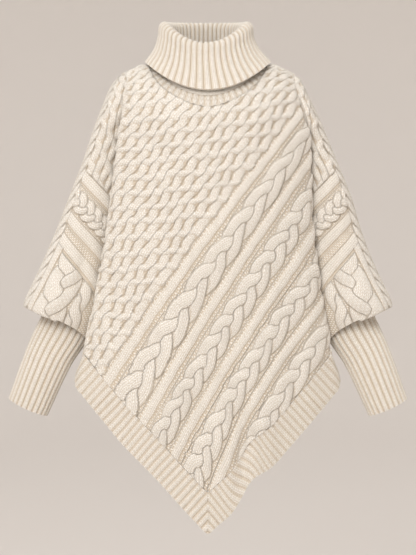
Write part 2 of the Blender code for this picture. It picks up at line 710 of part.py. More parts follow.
def hem_band(name, place, side, tip, slope, side_room, flip):
    """A ribbed band along one arm of the hem's V, mitred at the tip."""
    hem = math.atan(slope)
    columns = round(HEM_LENGTH / HEM_COLUMN)

    def lay(column, row):
        u = column * HEM_COLUMN - HEM_SPARE
        w = row / HEM_ROWS * (HEM_BAND + 2 * HEM_MARGIN) - HEM_MARGIN
        u += w * math.tan(HEM_RIB_LEAN)
        x = u * math.cos(hem) - w * math.sin(hem)
        y = tip + u * math.sin(hem) + w * math.cos(hem)
        return side * x, y, RIB_RISE if column % 2 else 0.0

    bm = knit_grid(columns, HEM_ROWS, lay)
    trim(bm, lambda x, y: (y - tip - slope * side * x) * math.cos(hem))
    trim(bm, lambda x, y: HEM_BAND - (y - tip - slope * side * x) * math.cos(hem))
    trim(bm, lambda x, y: side * x - SEAM_GAP / 2)
    trim(bm, lambda x, y: side_room(x, y) - SEAM_GAP)
    give_wall(bm, fine=lambda x, y: side_room(x, y) < HEM_FINE)
    drape(bm, place, flip=flip, calm=lambda x, y: min(1.0, max(side_room(x, y), 0) / HEM_CALM))
    return finish(bm, name)


# ---- sleeves -----------------------------------------------------------------------------------

def sleeve_relief(column, row):
    """Trellis along the overarm edge, then ridges and cables that fall away from it."""
    aside = abs(column) * SLEEVE_COLUMN
    if aside <= SLEEVE_BAND:
        return TRELLIS_RISE if (column + row) % 2 else 0.0
    beat = row % 4
    if row < 0:
        return TRELLIS_RISE if (column + row) % 2 else 0.0
    if row in (0, 4, 6) or (row > 6 and row % 5 == 0):
        return RIDGE_RISE
    if beat == 2:
        return CABLE_RISE * (0.45 + 0.55 * (column % 2))
    return 0.35 * CABLE_RISE * ((column + beat) % 2)


def sleeve(side, name):
    def lay(column, row):
        column -= SLEEVE_COLUMNS
        down = row - ROWS_ABOVE_RIDGE
        around = column * SLEEVE_COLUMN
        height = FIRST_SLEEVE_RIDGE - down * SLEEVE_ROW - SLEEVE_ROW_SLOPE * abs(around)
        return around, height, sleeve_relief(column, down)

    def seam_room(x, y):
        """Cloth left before the seam, less what its ease and a tight first turn take."""
        level = level_of(y)
        bend = read(SEAMS, "bend", level)
        tight = smooth((NARROW_BEND - bend) / TIGHT_BEND) if x < 0 else 0
        ease = read(SEAMS, "sleeve_ease", level)
        if x > 0:
            ease = max(ease, SEAM_GAP)
        return sleeve_halves(side, y)[x > 0] - abs(x) - ease - math.pi * bend * tight

    def first_turn_room(x, y):
        """The same in front, where the first turn is; its lines run out above the shoulder."""
        grown = smooth((level_of(y) - FIRST_TURN_FROM) / FIRST_TURN_GROWTH)
        return seam_room(x, y) + FIRST_TURN_BEYOND * grown if x < 0 else 1.0

    def fold_room(x, y):
        """Height above the blouse fold; below zero the cloth turns up inside."""
        point = sleeve_wall(side, x, y)
        return point.z - read(SLEEVE_END, "level", abs(point.x))

    def end_room(x, y):
        """Cloth left before the edge; it turns in at the cuff, and stops at its fold by the body."""
        share = abs(x) / sleeve_halves(side, y)[x > 0]
        return fold_room(x, y) + TURN_IN * smooth((TURN_IN_TO - share) / TURN_IN_FADE)

    bm = knit_grid(2 * SLEEVE_COLUMNS, SLEEVE_ROWS, lay)
    trim(bm, lambda x, y: SHOULDER_HEIGHT + SHOULDER_LENGTH - SHOULDER_ROUND - SLEEVE_TOP - y)
    trim(bm, end_room)
    trim(bm, seam_room)
    for share in TURN_IN_LINES:
        trim(bm, lambda x, y, k=share: fold_room(x, y) + TURN_IN * k, clear=False)
    for distance in FIRST_TURN_LINES:
        trim(bm, lambda x, y, d=distance: first_turn_room(x, y) - d, clear=False)
    give_wall(bm, fine=lambda x, y: seam_room(x, y) < SLEEVE_FINE["seam"]
              or fold_room(x, y) < SLEEVE_FINE["fold"] or abs(x) < SLEEVE_FINE["overarm"]
              or level_of(y) > SLEEVE_FINE["top"])
    drape(bm, lambda x, y: sleeve_point(side, x, y), flip=side,
          calm=lambda x, y: min(
              1.0, max(seam_room(x, y) - SLEEVE_CALM["seam_from"], 0) / SLEEVE_CALM["seam"],
              max(fold_room(x, y), 0) / SLEEVE_CALM["fold"]))
    return finish(bm, name)


# ---- ribbed tubes ------------------------------------------------------------------------------

def ribbed_tube(name, ribs, rows, place, flip, thinned=("column",)):
    """A closed tube of ribs; place(turn, part) gives its form, turn and part running from 0 to 1."""
    columns = 2 * ribs
    bm = knit_grid(columns, rows, lambda column, row: (
        column / columns, row / rows, RIB_RISE if column % 2 else 0.0))
    layer = bm.verts.layers.float["column"]
    by_row = {round(vert.co.y * rows): vert for vert in bm.verts if vert[layer] == 0}
    weld = {vert: by_row[round(vert.co.y * rows)] for vert in bm.verts if vert[layer] == columns}
    bmesh.ops.weld_verts(bm, targetmap=weld)
    give_wall(bm, thinned)
    inner = bm.verts.layers.int["inner"]
    relief = bm.verts.layers.float["relief"]
    step = TUBE_STEP
    goal = {}
    for vert in bm.verts:
        turn, part = vert.co.x, vert.co.y
        point = place(turn, part)
        around = place(turn + step, part) - place(turn - step, part)
        along = place(turn, min(part + step, 1)) - place(turn, max(part - step, 0))
        normal = around.cross(along).normalized() * flip
        goal[vert] = point + normal * (-WALL if vert[inner] else vert[relief])
    for vert, point in goal.items():
        vert.co = point
    face_outward(bm)
    return finish(bm, name)


@functools.lru_cache(maxsize=None)
def neck_edge(turn):
    """Height of the body's neck edge, where the tube is sewn on."""
    angle = 2 * math.pi * turn
    x = NECK_WIDTH * math.sin(angle)
    y = NECK_MIDDLE - (NECK_BACK - NECK_FRONT) / 2 * math.cos(angle)
    place = front_point if y < 0 else back_point
    low, high = LOWEST_NECK, shoulder_seam(x) + SHOULDER_LENGTH - SHOULDER_ROUND
    for _ in range(20):
        middle = (low + high) / 2
        if abs(place(x, middle).y) > abs(y):
            low = middle
        else:
            high = middle
    return place(x, high).z


def collar_point(turn, part):
    """The turned-down tube; turn runs round from the front to the viewer's right."""
    angle = 2 * math.pi * turn
    ahead = math.cos(angle)
    width = read(COLLAR, "width", part)
    deep = read(COLLAR, "to_front" if ahead > 0 else "to_back", part)
    side, end = (read(COLLAR, name, part) for name in ("side", "front" if ahead > 0 else "back"))
    lean = COLLAR_LEAN * min(1.0, part / LEAN_FROM, (1.0 - part) / (1.0 - LEAN_TO))
    height = side + (end - side) * ahead * ahead
    if part < COLLAR_SETTLE:
        first, last = (read(COLLAR, name, 0) for name in ("side", "front" if ahead > 0 else "back"))
        short = neck_edge(turn) - COLLAR_DROP - first - (last - first) * ahead * ahead
        height += short * smooth(1 - part / COLLAR_SETTLE)
    return Vector((lean + width * math.sin(angle), NECK_MIDDLE - deep * ahead, height))


def cuff_point(side):
    def place(turn, part):
        return cuff_ring(side, part, 2 * math.pi * turn)
    return place


def build():
    for item in list(bpy.data.objects):
        bpy.data.objects.remove(item)
    body_panel("front", front_point, 1, HEM_TIP, HEM_SLOPE, front_side_room, FRONT_FINE)
    body_panel("back", back_point, -1, BACK_TIP, BACK_SLOPE, back_side_room, BACK_FINE)
    for side, word in ((-1, "left"), (1, "right")):
        hem_band("hem_front_" + word, front_point, side, HEM_TIP, HEM_SLOPE, front_side_room, 1)
        hem_band("hem_back_" + word, back_point, side, BACK_TIP, BACK_SLOPE, back_side_room, -1)
        sleeve(side, "sleeve_" + word)
        ribbed_tube("cuff_" + word, CUFF_RIBS, CUFF_ROWS, cuff_point(side), side, ())
    ribbed_tube("collar", COLLAR_RIBS, COLLAR_ROWS, collar_point, -1)


build()
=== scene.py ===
"""Looks of a cable knit poncho sweater: its knitted pieces, their wool, and a plain studio.

Every piece is knitted flat on a grid that follows its own stitches, trimmed to its outline, given a
wall, refined and then laid on the worn form. Lengths are metres, +X is the viewer's right, the front
faces -Y and +Z is up; the origin is the middle of the neck opening at the height of the shoulders.
"""

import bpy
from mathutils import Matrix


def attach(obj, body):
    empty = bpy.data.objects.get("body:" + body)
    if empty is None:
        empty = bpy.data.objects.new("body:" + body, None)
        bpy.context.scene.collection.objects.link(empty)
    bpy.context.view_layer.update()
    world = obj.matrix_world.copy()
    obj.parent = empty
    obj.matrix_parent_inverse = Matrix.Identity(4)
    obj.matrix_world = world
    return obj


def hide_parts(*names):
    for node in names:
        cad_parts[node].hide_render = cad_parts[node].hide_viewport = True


bl_info = {
    "name": "Cable knit poncho sweater",
    "version": (1, 0, 0),
    "blender": (4, 5, 0),
    "location": "View3D > Sidebar > Knitwear",
    "description": "Knits the pieces of a cable knit poncho sweater around its packed frame",
    "category": "Add Mesh",
}

import math
from functools import partial

import bmesh
import bpy
import numpy as np
from bpy.props import FloatProperty, FloatVectorProperty, PointerProperty
from mathutils import Vector

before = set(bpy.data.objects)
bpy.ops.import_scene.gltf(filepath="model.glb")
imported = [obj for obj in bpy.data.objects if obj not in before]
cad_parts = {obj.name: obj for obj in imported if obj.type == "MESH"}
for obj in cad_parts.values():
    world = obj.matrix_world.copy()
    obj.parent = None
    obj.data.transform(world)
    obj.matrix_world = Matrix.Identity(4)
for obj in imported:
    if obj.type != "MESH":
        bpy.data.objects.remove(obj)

TAU = 2 * math.pi
BOTH_SIDES = ((-1, "left"), (1, "right"))

# ---- cloth ----

SEAM_GAP = 0.0003
SNAP = 0.002                # a grid point this near a trim line is moved onto it
STEP = 0.0004               # half the step over which a surface's direction is taken
TURN_STEP = 0.001           # the same on a tube, as a share of its round and length
GRAIN = 0.008               # cells of the large pieces' grid, before they are refined
CALM_EDGE = 0.012           # stitches flatten towards a seam over this much cloth
BAND_CALM_EDGE = 0.010
LEAST_RISE = 0.25           # and keep this share of their height at it
SLEEVE_CALM_EDGE, SLEEVE_CALM_FOLD, SLEEVE_LEAST_RISE = 0.014, 0.01, 0.1
SETTLE_EDGE = 0.03          # the sleeves' folds fade towards their edges over this much cloth

# ---- knitting pattern ----

REPEAT = 0.079              # width of one cable with its ridge and gutters
PLAITS = (                  # the cables by their place from the first ridge
    ("repeat", "period", "sway", "half_width"),
    (0.0, 0.183, 0.0135, 0.0118),
    (1.0, 0.135, 0.0120, 0.0104),
    (2.0, 0.137, 0.0120, 0.0104),
    (3.0, 0.150, 0.0125, 0.0110),
)
RIDGE_HALF = 0.0078
CABLE_FROM, CABLE_TO = 0.17, 0.83   # shares of the repeat that the cable takes
TRELLIS_COLUMN = 0.0150
TRELLIS_PERIOD = 0.038
TRELLIS_FROM = -0.0125      # where the trellis starts, beside the first ridge
SCALLOP_COLUMN = 0.0180     # its first column, of larger lobes
SLEEVE_ROPE = 0.037         # where the rope along the overarm edge ends
SLEEVE_BAND = 0.053         # and the plain band beside it
NECK_RIBBING = 0.014        # ribbed cloth below the neck seam
BARE = 0.02                 # strands lower than this share show as purled ground, which gets painted shade
LINE_WIDTH = 0.0014         # the crease along a strand or a ridge, painted with shade, and how deep it is drawn
LINE_DEPTH = 0.0004
LATTICE_LINE = 0.0010       # the finer crease between two columns of the trellis, painted with shade
LATTICE_ROPE = 0.0058       # half width of the ropes that cross the trellis
LOBE_HALF, LARGE_LOBE_HALF = 0.0079, 0.0098

# Ropes and plaits of the sleeve: strands, period, sway, half width, share of the cables' height.
SMALL_PLAIT = (3, 0.072, 0.0085, 0.0080, 0.90)
LARGE_PLAIT = (3, 0.150, 0.0190, 0.0170, 1.00)
FAR_ROPE = (2, 0.078, 0.0080, 0.0098, 0.85)
EDGE_ROPE = (2, 0.052, 0.0052, 0.0088, 0.80)
EDGE_ROPE_AT = 0.024        # from the overarm edge
LARGE_PLAIT_AT = SLEEVE_BAND + 0.036
FAR_ROPE_AT, FAR_FROM = 0.143, 0.126
SMALL_PLAIT_AT = 0.0307     # down from the sleeve's first ridge, square to the rows
SLEEVE_RIDGES = (0.0, 0.0613, 0.092)
BAND_FROM = 0.098

# The wales (lines of stitches) of the front start on the hem seam and turn as they rise.
# foot is measured along the left hem seam from its side end, heading from +X, turn clockwise.
WALE_GUIDES = (
    ("repeat", "foot", "heading", "turn_per_metre"),
    (-5.0, -0.416, 52.0, 20.0),
    (-2.0, -0.136, 56.0, 17.0),
    (0.0, 0.0517, 58.1, 13.1),
    (1.0, 0.1508, 62.1, 16.6),
    (2.0, 0.2343, 62.7, 23.0),
    (3.0, 0.340, 74.0, 70.0),
    (6.0, 0.618, 80.0, 70.0),
)
WALES_FROM, WALES_TO = -5.0, 6.0
ROWS_FROM, ROWS_TO = -0.1075, 0.71

# ---- body ----

SHOULDER_POINT = 0.165
SHOULDER_HEIGHT = 0.0125
SHOULDER_SLOPE = 0.5
NECK_SIDE_HEIGHT = 0.032
SHOULDER_ROUND = 0.10
SHOULDER_LENGTH = 0.15
FRONT_POWER = 2.6
BACK_POWER = 3.4

NECK_WIDTH = 0.094
NECK_FRONT = -0.092
NECK_BACK = 0.076
NECK_MIDDLE = (NECK_FRONT + NECK_BACK) / 2
NECK_DEEP = (NECK_BACK - NECK_FRONT) / 2

SIDES = (
    ("level", "left_fold", "left_over", "right_fold", "right_over"),
    (0.0125, 0.163, 0.165, 0.165, 0.165),
    (0.000, 0.155, 0.179, 0.165, 0.176),
    (-0.040, 0.154, 0.196, 0.169, 0.196),
    (-0.085, 0.158, 0.2127, 0.179, 0.2156),
    (-0.150, 0.165, 0.2355, 0.184, 0.243),
    (-0.215, 0.172, 0.261, 0.184, 0.2697),
    (-0.275, 0.180, 0.2845, 0.189, 0.2875),
    (-0.340, 0.191, 0.313, 0.196, 0.313),
    (-0.415, 0.2045, 0.349, 0.207, 0.349),
    (-0.490, 0.220, 0.385, 0.2185, 0.385),
    (-0.585, 0.237, 0.430, 0.2345, 0.430),
)

DEPTHS = (
    ("level", "front", "fold", "back"),
    (0.0125, 0.088, 0.045, 0.100),
    (-0.020, 0.103, 0.047, 0.112),
    (-0.080, 0.116, 0.050, 0.119),
    (-0.200, 0.127, 0.055, 0.121),
    (-0.350, 0.131, 0.058, 0.119),
    (-0.580, 0.128, 0.060, 0.113),
    (-0.840, 0.122, 0.060, 0.108),
)

# Where the front's edge ends behind its fold, the way the cloth runs there, the back's edge, the
# radius of the sleeve's first turn, and what edges lose where the pieces meet in a point.
SEAMS = (
    ("level", "curl_out", "curl_back", "way_out", "way_back", "seam_x", "seam_y", "bend", "ease",
     "sleeve_ease"),
    (0.0125, 0.0020, 0.002, 0.80, 0.6, 0.165, 0.050, 0.0010, 0.0100, -0.011),
    (-0.015, 0.0030, 0.004, 0.70, 0.7, 0.168, 0.053, 0.0020, 0.0080, -0.014),
    (-0.060, 0.0030, 0.010, 0.00, 0.9, 0.175, 0.055, 0.0030, 0.0003, 0.0003),
    (-0.105, 0.0000, 0.019, -1.00, 0.1, 0.181, 0.057, 0.0065, 0.0003, 0.0003),
    (-0.200, -0.004, 0.025, -1.00, 0.0, 0.200, 0.060, 0.0070, 0.0003, 0.0003),
    (-0.360, -0.004, 0.027, -1.00, 0.0, 0.234, 0.061, 0.0070, 0.0006, 0.0010),
    (-0.430, -0.007, 0.032, -1.00, 0.1, 0.240, 0.048, 0.0040, 0.0010, 0.003),
    (-0.500, -0.016, 0.055, -0.20, 1.0, 0.205, -0.004, 0.0020, 0.0030, 0.012),
    (-0.545, 0.020, 0.060, 0.30, 1.0, 0.252, 0.000, 0.0010, 0.0003, 0.012),
    (-0.640, 0.022, 0.060, 0.20, 1.0, 0.262, 0.000, 0.0010, 0.0003, 0.012),
)
BACK_EASE = 0.003
NARROW_BEND = 0.0015        # a sleeve whose first turn is tighter starts after it

SLEEVE_SWELL = (
    ("level", "swell", "round_over", "over_back"),
    (0.0125, 0.004, 0.020, 0.010),
    (-0.050, 0.014, 0.034, 0.010),
    (-0.200, 0.030, 0.044, 0.008),
    (-0.340, 0.045, 0.050, 0.004),
    (-0.420, 0.070, 0.060, 0.000),
    (-0.500, 0.075, 0.064, -0.004),
)

# ---- creases ----
# Soft folds of the worn cloth: middle of each on the flat cloth, heading, length, half width, and
# how far its ridge stands out or its trough lies in.

FRONT_FOLDS = (
    (-0.168, -0.270, 94.0, 0.330, 0.016, 0.0045),
    (-0.118, -0.520, 82.0, 0.190, 0.022, -0.0050),
    (-0.072, -0.560, 86.0, 0.230, 0.024, 0.0048),
    (-0.020, -0.640, 92.0, 0.150, 0.020, -0.0042),
    (0.028, -0.680, 95.0, 0.160, 0.018, 0.0060),
    (0.066, -0.690, 98.0, 0.170, 0.016, -0.0085),
    (0.100, -0.640, 100.0, 0.200, 0.018, 0.0080),
    (0.152, -0.500, 97.0, 0.230, 0.022, -0.0060),
    (0.178, -0.330, 94.0, 0.260, 0.014, 0.0040),
    (-0.100, -0.110, 118.0, 0.120, 0.020, -0.0030),
    (0.112, -0.120, 62.0, 0.140, 0.022, -0.0034),
    (0.040, -0.300, 75.0, 0.210, 0.030, 0.0032),
)
FRONT_LIFTS = (             # where the hem's edge rises or sags: place, half width, how far
    (0.083, 0.024, 0.0150),
    (0.043, 0.020, -0.0060),
    (-0.090, 0.035, 0.0030),
    (-0.160, 0.025, -0.0025),
)
BACK_FOLDS = (
    (-0.150, -0.350, 96.0, 0.300, 0.020, 0.0060),
    (-0.108, -0.460, 90.0, 0.260, 0.022, -0.0070),
    (-0.052, -0.540, 88.0, 0.210, 0.020, 0.0055),
    (0.012, -0.420, 93.0, 0.330, 0.026, -0.0060),
    (0.060, -0.590, 86.0, 0.170, 0.018, 0.0065),
    (0.118, -0.430, 84.0, 0.280, 0.022, -0.0065),
    (0.160, -0.300, 86.0, 0.240, 0.016, 0.0050),
    (-0.070, -0.150, 60.0, 0.150, 0.022, -0.0045),
    (0.085, -0.140, 121.0, 0.130, 0.020, -0.0040),
)
BACK_LIFTS = (
    (-0.070, 0.030, 0.0070),
    (0.100, 0.026, -0.0050),
)
SLEEVE_FOLDS = (            # around is negative in front
    (-0.100, -0.330, 58.0, 0.150, 0.011, -0.0048),
    (-0.082, -0.390, 64.0, 0.130, 0.012, 0.0040),
    (-0.060, -0.300, 72.0, 0.120, 0.013, -0.0030),
    (-0.040, -0.180, 80.0, 0.140, 0.012, 0.0028),
    (0.085, -0.340, 118.0, 0.160, 0.013, -0.0050),
    (0.060, -0.410, 110.0, 0.120, 0.012, 0.0042),
    (0.048, -0.250, 104.0, 0.140, 0.014, -0.0036),
)

# ---- hem ----

FRONT_TIP, FRONT_SLOPE = -0.8345, 1.075
BACK_TIP, BACK_SLOPE = -0.7870, 1.077
HEM_BAND = 0.054
HEM_RIB = 0.0122
BAND_CLEAR = 0.0006         # gap above the band, more where it turns round the side's fold
BAND_CLEAR_ROUND = 0.0022
FOLD_START = 0.200
HEM_RIB_LEAN = math.radians(6)
BAND_LENGTH, BAND_SPARE, BAND_MARGIN = 0.46, 0.04, 0.002   # grid before it is trimmed
LIFT_FADE = 0.16            # cloth above the edge over which its lifts fade

# ---- sleeve end and cuff ----

SLEEVE_TOP = 0.013
SLEEVE_ROW_SLOPE = 0.733    # the sleeve's rows fall this much for each metre from the overarm edge
FIRST_SLEEVE_RIDGE = -0.148
TURN_IN = 0.042             # cloth turned up inside, and the share of the round that has it
TURN_IN_TO = 0.53
TURN_IN_FADE = 0.13
SLEEVE_WIDEST, SLEEVE_HIGHEST, SLEEVE_LOWEST = 0.24, 0.06, -0.62   # grid before it is trimmed
ROWS_ABOVE = 0.17           # how far its slanting rows start above that
FOLD_SEARCH = 0.16          # cloth over which the blouse fold is looked for
CUFF_MEET = 0.06            # the cuff's part at which the sleeve's end meets it

SLEEVE_END = (
    ("x", "level"),
    (0.190, -0.530), (0.212, -0.503), (0.222, -0.4906), (0.237, -0.471), (0.254, -0.4555),
    (0.286, -0.4365), (0.314, -0.424), (0.335, -0.4165), (0.349, -0.4148), (0.400, -0.4148),
)

CUFF_LEAN = math.radians(25)
CUFF = (
    ("station", "x", "y", "level", "half_width", "half_depth"),
    (0.00, 0.2560, 0.004, -0.424, 0.0450, 0.0290),
    (0.25, 0.2750, -0.006, -0.466, 0.0465, 0.0310),
    (0.50, 0.3005, -0.021, -0.512, 0.0425, 0.0310),
    (1.00, 0.3394, -0.048, -0.606, 0.0374, 0.0285),
)
CUFF_RIBS, CUFF_ROWS = 22, 26
CUFF_CLEAR = 0.0040         # how far the sleeve's end lies outside the cuff's form
CUFF_LENGTH = 0.205

# ---- turtleneck ----

COLLAR_RIBS, COLLAR_ROWS = 50, 32
COLLAR = (
    ("part", "width", "to_front", "to_back", "front", "side", "back"),
    (0.00, 0.0905, 0.0880, 0.0800, -0.0240, 0.0300, -0.0050),
    (0.10, 0.0800, 0.0775, 0.0760, -0.0040, 0.0470, 0.0220),
    (0.25, 0.0690, 0.0520, 0.0720, 0.0300, 0.0750, 0.0660),
    (0.38, 0.0670, 0.0460, 0.0730, 0.0570, 0.0990, 0.0980),
    (0.46, 0.0700, 0.0480, 0.0760, 0.0690, 0.1090, 0.1105),
    (0.52, 0.0780, 0.0560, 0.0830, 0.0725, 0.1120, 0.1135),
    (0.58, 0.0850, 0.0635, 0.0900, 0.0660, 0.1060, 0.1070),
    (0.68, 0.0870, 0.0700, 0.0930, 0.0480, 0.0880, 0.0870),
    (0.82, 0.0960, 0.0820, 0.0980, 0.0200, 0.0640, 0.0560),
    (1.00, 0.1160, 0.0970, 0.1120, -0.0118, 0.0385, 0.0200),
)
COLLAR_LEAN = -0.004
COLLAR_DROP = 0.0025
COLLAR_SETTLE = 0.22
COLLAR_LENGTH = 0.25

# ---- camera and studio ----

VIEW_MIDDLE = Vector((0.0, 0.0, -0.366))
VIEW_DISTANCE = 3.2
VIEW_ELEVATION = math.radians(6)
VIEW_HEIGHT = 1.0545        # what the picture's long side takes in at the sweater
STUDIO_RADIUS = 9.0
STUDIO_FLOOR = -1.9
STUDIO_BEND = 3.0
STUDIO_HEIGHT = 9.0
KEY_PLACE = (-1.4, -4.8, 2.9)


# ---- reading the tables ----

def read(table, column, keys):
    """Values of a named column at an array of keys, on a smooth curve through the table's rows."""
    place = table[0].index(column)
    rows = sorted(table[1:], key=lambda row: row[0])
    at = np.array([row[0] for row in rows])
    value = np.array([row[place] for row in rows])
    keys = np.clip(keys, at[0], at[-1])
    high = np.clip(np.searchsorted(at, keys), 1, len(at) - 1)
    low = high - 1
    span = at[high] - at[low]
    chord = (value[high] - value[low]) / span
    before = np.maximum(low - 1, 0)
    after = np.minimum(high + 1, len(at) - 1)
    leave = (value[high] - value[before]) / (at[high] - at[before])
    arrive = (value[after] - value[low]) / (at[after] - at[low])
    t = (keys - at[low]) / span
    sway = (1 - t) * (leave - chord) - t * (arrive - chord)
    return value[low] + t * span * chord + t * (1 - t) * span * sway


def reads(table, columns, keys):
    """The same for several columns at once."""
    return [read(table, column, keys) for column in columns.split()]


def smooth(t):
    """A soft step from 0 to 1."""
    t = np.clip(t, 0.0, 1.0)
    return t * t * (3 - 2 * t)


def bell(distance, width):
    """1 on a line, fading away over a width."""
    return np.exp(-(distance / width) ** 2)


def folds(table, x, y):
    """How far cloth at places on it is raised by a table's folds."""
    total = np.zeros(len(x))
    for middle_x, middle_y, heading, length, width, depth in table:
        heading = math.radians(heading)
        along = (x - middle_x) * math.cos(heading) + (y - middle_y) * math.sin(heading)
        aside = (y - middle_y) * math.cos(heading) - (x - middle_x) * math.sin(heading)
        aside = aside + 0.006 * np.sin(along / length * 5 + middle_x * 90)
        total += depth * bell(aside, width) * bell(along, length / 2)
    return total


def lifts(table, x, from_edge):
    """How far the hem's edge is raised, fading out above it."""
    total = sum(depth * bell(x - middle, width) for middle, width, depth in table)
    return total * smooth(1 - from_edge / LIFT_FADE)


def bezier(points, t):
    """Points of cubic curves, each through its own four control points."""
    a, b, c, d = points
    t = np.asarray(t)[..., None]
    u = 1 - t
    return a * u ** 3 + b * 3 * u * u * t + c * 3 * u * t * t + d * t ** 3


def columns_of(*values):
    """Arrays side by side as the coordinates of points."""
    return np.stack(np.broadcast_arrays(*values), axis=-1)


def side_of(x):
    return np.where(x < 0, -1.0, 1.0)


def halve(low, high, is_low):
    """Where a condition that holds from low on stops holding, by halving."""
    for _ in range(20):
        middle = (low + high) / 2
        held = is_low(middle)
        low, high = np.where(held, middle, low), np.where(held, high, middle)
    return high


def lengths(points):
    return np.linalg.norm(points, axis=-1)


def unit(points):
    return points / np.maximum(lengths(points), 1e-9)[..., None]


# ---- the body's form ----

def shoulder_seam(x):
    return np.minimum(SHOULDER_HEIGHT + SHOULDER_SLOPE * (SHOULDER_POINT - np.abs(x)), NECK_SIDE_HEIGHT)


def seam_height(x):
    """The shoulder seam's height measured on the cloth."""
    return shoulder_seam(x) + SHOULDER_LENGTH - SHOULDER_ROUND


def over_shoulder(x, height):
    """How far the cloth has come down, and how full it stands, at a height measured on the cloth."""
    seam = shoulder_seam(x)
    along = seam_height(x) - height
    angle = np.minimum(along / SHOULDER_LENGTH, 1) * math.pi / 2
    down = SHOULDER_ROUND * (1 - np.cos(angle)) + np.maximum(along - SHOULDER_LENGTH, 0)
    return seam - down, np.sin(angle)


def level_of(height):
    """The height in the air of cloth at the shoulder point's line."""
    return over_shoulder(SHOULDER_POINT, height)[0]


def by_side(table, name, side, level):
    """A column that the table keeps once for each side."""
    return np.where(side < 0, read(table, "left_" + name, level), read(table, "right_" + name, level))


def front_curl(side, level):
    """The front's edge behind its fold: curves in plan for the right side."""
    fold_x = by_side(SIDES, "fold", side, level)
    fold_y = -read(DEPTHS, "fold", level)
    depth = read(DEPTHS, "front", level)
    fold = columns_of(fold_x, fold_y)
    slope = unit(columns_of(1.0, FRONT_POWER * (depth + fold_y) / fold_x))
    reach = columns_of(*reads(SEAMS, "curl_out curl_back", level))
    way = unit(columns_of(*reads(SEAMS, "way_out way_back", level)))
    handle = 0.62 * lengths(reach)[..., None]
    end = fold + reach
    return fold, fold + slope * handle, end - way * handle, end


def curl_length(curl):
    points = [bezier(curl, np.full(len(curl[0]), i / 8)) for i in range(9)]
    return sum(lengths(b - a) for a, b in zip(points, points[1:]))


def front_point(across, height):
    """Points of the front, from their places on the flat cloth."""
    side = side_of(across)
    level = level_of(height)
    curl = front_curl(side, level)
    fold_x, fold_y = curl[0][:, 0], curl[0][:, 1]
    out = np.abs(across)
    depth = read(DEPTHS, "front", level)
    share = np.minimum(out / fold_x, 1)
    ahead = columns_of(out, -(depth - (depth + fold_y) * share ** FRONT_POWER))
    behind = bezier(curl, (out - fold_x) / curl_length(curl))
    plan = np.where((out <= fold_x)[:, None], ahead, behind)
    z, full = over_shoulder(plan[:, 0], height)
    forward = folds(FRONT_FOLDS, across, height) * full * smooth((fold_x - out) / 0.02 + 0.5)
    lift = lifts(FRONT_LIFTS, across, hem_height(across, height, FRONT_TIP, FRONT_SLOPE))
    return columns_of(side * plan[:, 0], plan[:, 1] * full - SEAM_GAP / 2 - forward, z + lift)


def back_point(across, height):
    """Points of the back, from their places on the flat cloth."""
    side = side_of(across)
    level = level_of(height)
    edge_x, edge_y = reads(SEAMS, "seam_x seam_y", level)
    depth = read(DEPTHS, "back", level)
    x = np.abs(across)
    y = depth - (depth - edge_y) * (x / edge_x) ** BACK_POWER
    z, full = over_shoulder(x, height)
    backward = folds(BACK_FOLDS, across, height) * full * smooth((edge_x - x) / 0.03)
    lift = lifts(BACK_LIFTS, across, hem_height(across, height, BACK_TIP, BACK_SLOPE))
    return columns_of(side * x, y * full + SEAM_GAP / 2 + backward, z + lift)


def sleeve_section(side, level):
    """Plan curves of the sleeve: from the front seam to the overarm edge, and on to the back seam."""
    seam = front_curl(side, level)[3]
    bend = read(SEAMS, "bend", level)
    swell, round_over, over_back = reads(SLEEVE_SWELL, "swell round_over over_back", level)
    over = columns_of(by_side(SIDES, "over", side, level), over_back)
    back = columns_of(*reads(SEAMS, "seam_x seam_y", level))
    leave = columns_of(0.45 * (over[:, 0] - seam[:, 0]), -swell)
    heading = np.arctan2(*reads(SEAMS, "way_back way_out", level)) % TAU
    sweep = heading - np.arctan2(leave[:, 1], leave[:, 0])
    hub = columns_of(np.sin(heading), -np.cos(heading)) * bend[:, None]
    turn = [seam + hub + columns_of(-np.sin(heading - sweep * i / 10), np.cos(heading - sweep * i / 10))
            * bend[:, None] for i in range(11)]
    start = turn[-1]
    round_over = np.minimum(round_over, 0.7 * (over[:, 0] - start[:, 0]))
    ahead = (start, start + leave, over - columns_of(0.0, round_over), over)
    behind = (over, over + columns_of(0.0, round_over),
              back + columns_of(0.45 * (over[:, 0] - back[:, 0]), 0.6 * swell), back)
    steps = [np.full(len(level), i / 24) for i in range(25)]
    return (np.stack(turn[:-1] + [bezier(ahead, t) for t in steps]),
            np.stack([bezier(behind, t) for t in steps]))


def run_length(points):
    return lengths(np.diff(points, axis=0)).sum(axis=0)


def walk(points, distance):
    """The points at a distance along each of several runs of points."""
    steps = np.maximum(lengths(np.diff(points, axis=0)), 1e-9)
    ends = np.cumsum(steps, axis=0)
    index = np.minimum((ends < distance).sum(axis=0), len(steps) - 1)
    run = np.arange(len(distance))
    a, b = points[index, run], points[index + 1, run]
    t = (distance - (ends[index, run] - steps[index, run])) / steps[index, run]
    return a + (b - a) * t[:, None]


def sleeve_halves(side, height):
    """Cloth from the overarm edge to the front seam and to the back seam."""
    front_half, back_half = sleeve_section(side, level_of(height))
    return run_length(front_half), run_length(back_half)


def half_length(side, around, height):
    front_half, back_half = sleeve_halves(side, height)
    return np.where(around > 0, back_half, front_half)


def sleeve_wall(side, around, height):
    """Points of the sleeve above its blouse fold; around is negative in front."""
    front_half, back_half = sleeve_section(side, level_of(height))
    plan = np.where((around < 0)[:, None], walk(front_half[::-1], np.abs(around)),
                    walk(back_half, np.abs(around)))
    z, full = over_shoulder(plan[:, 0], height)
    return columns_of(side * plan[:, 0], plan[:, 1] * full, z)


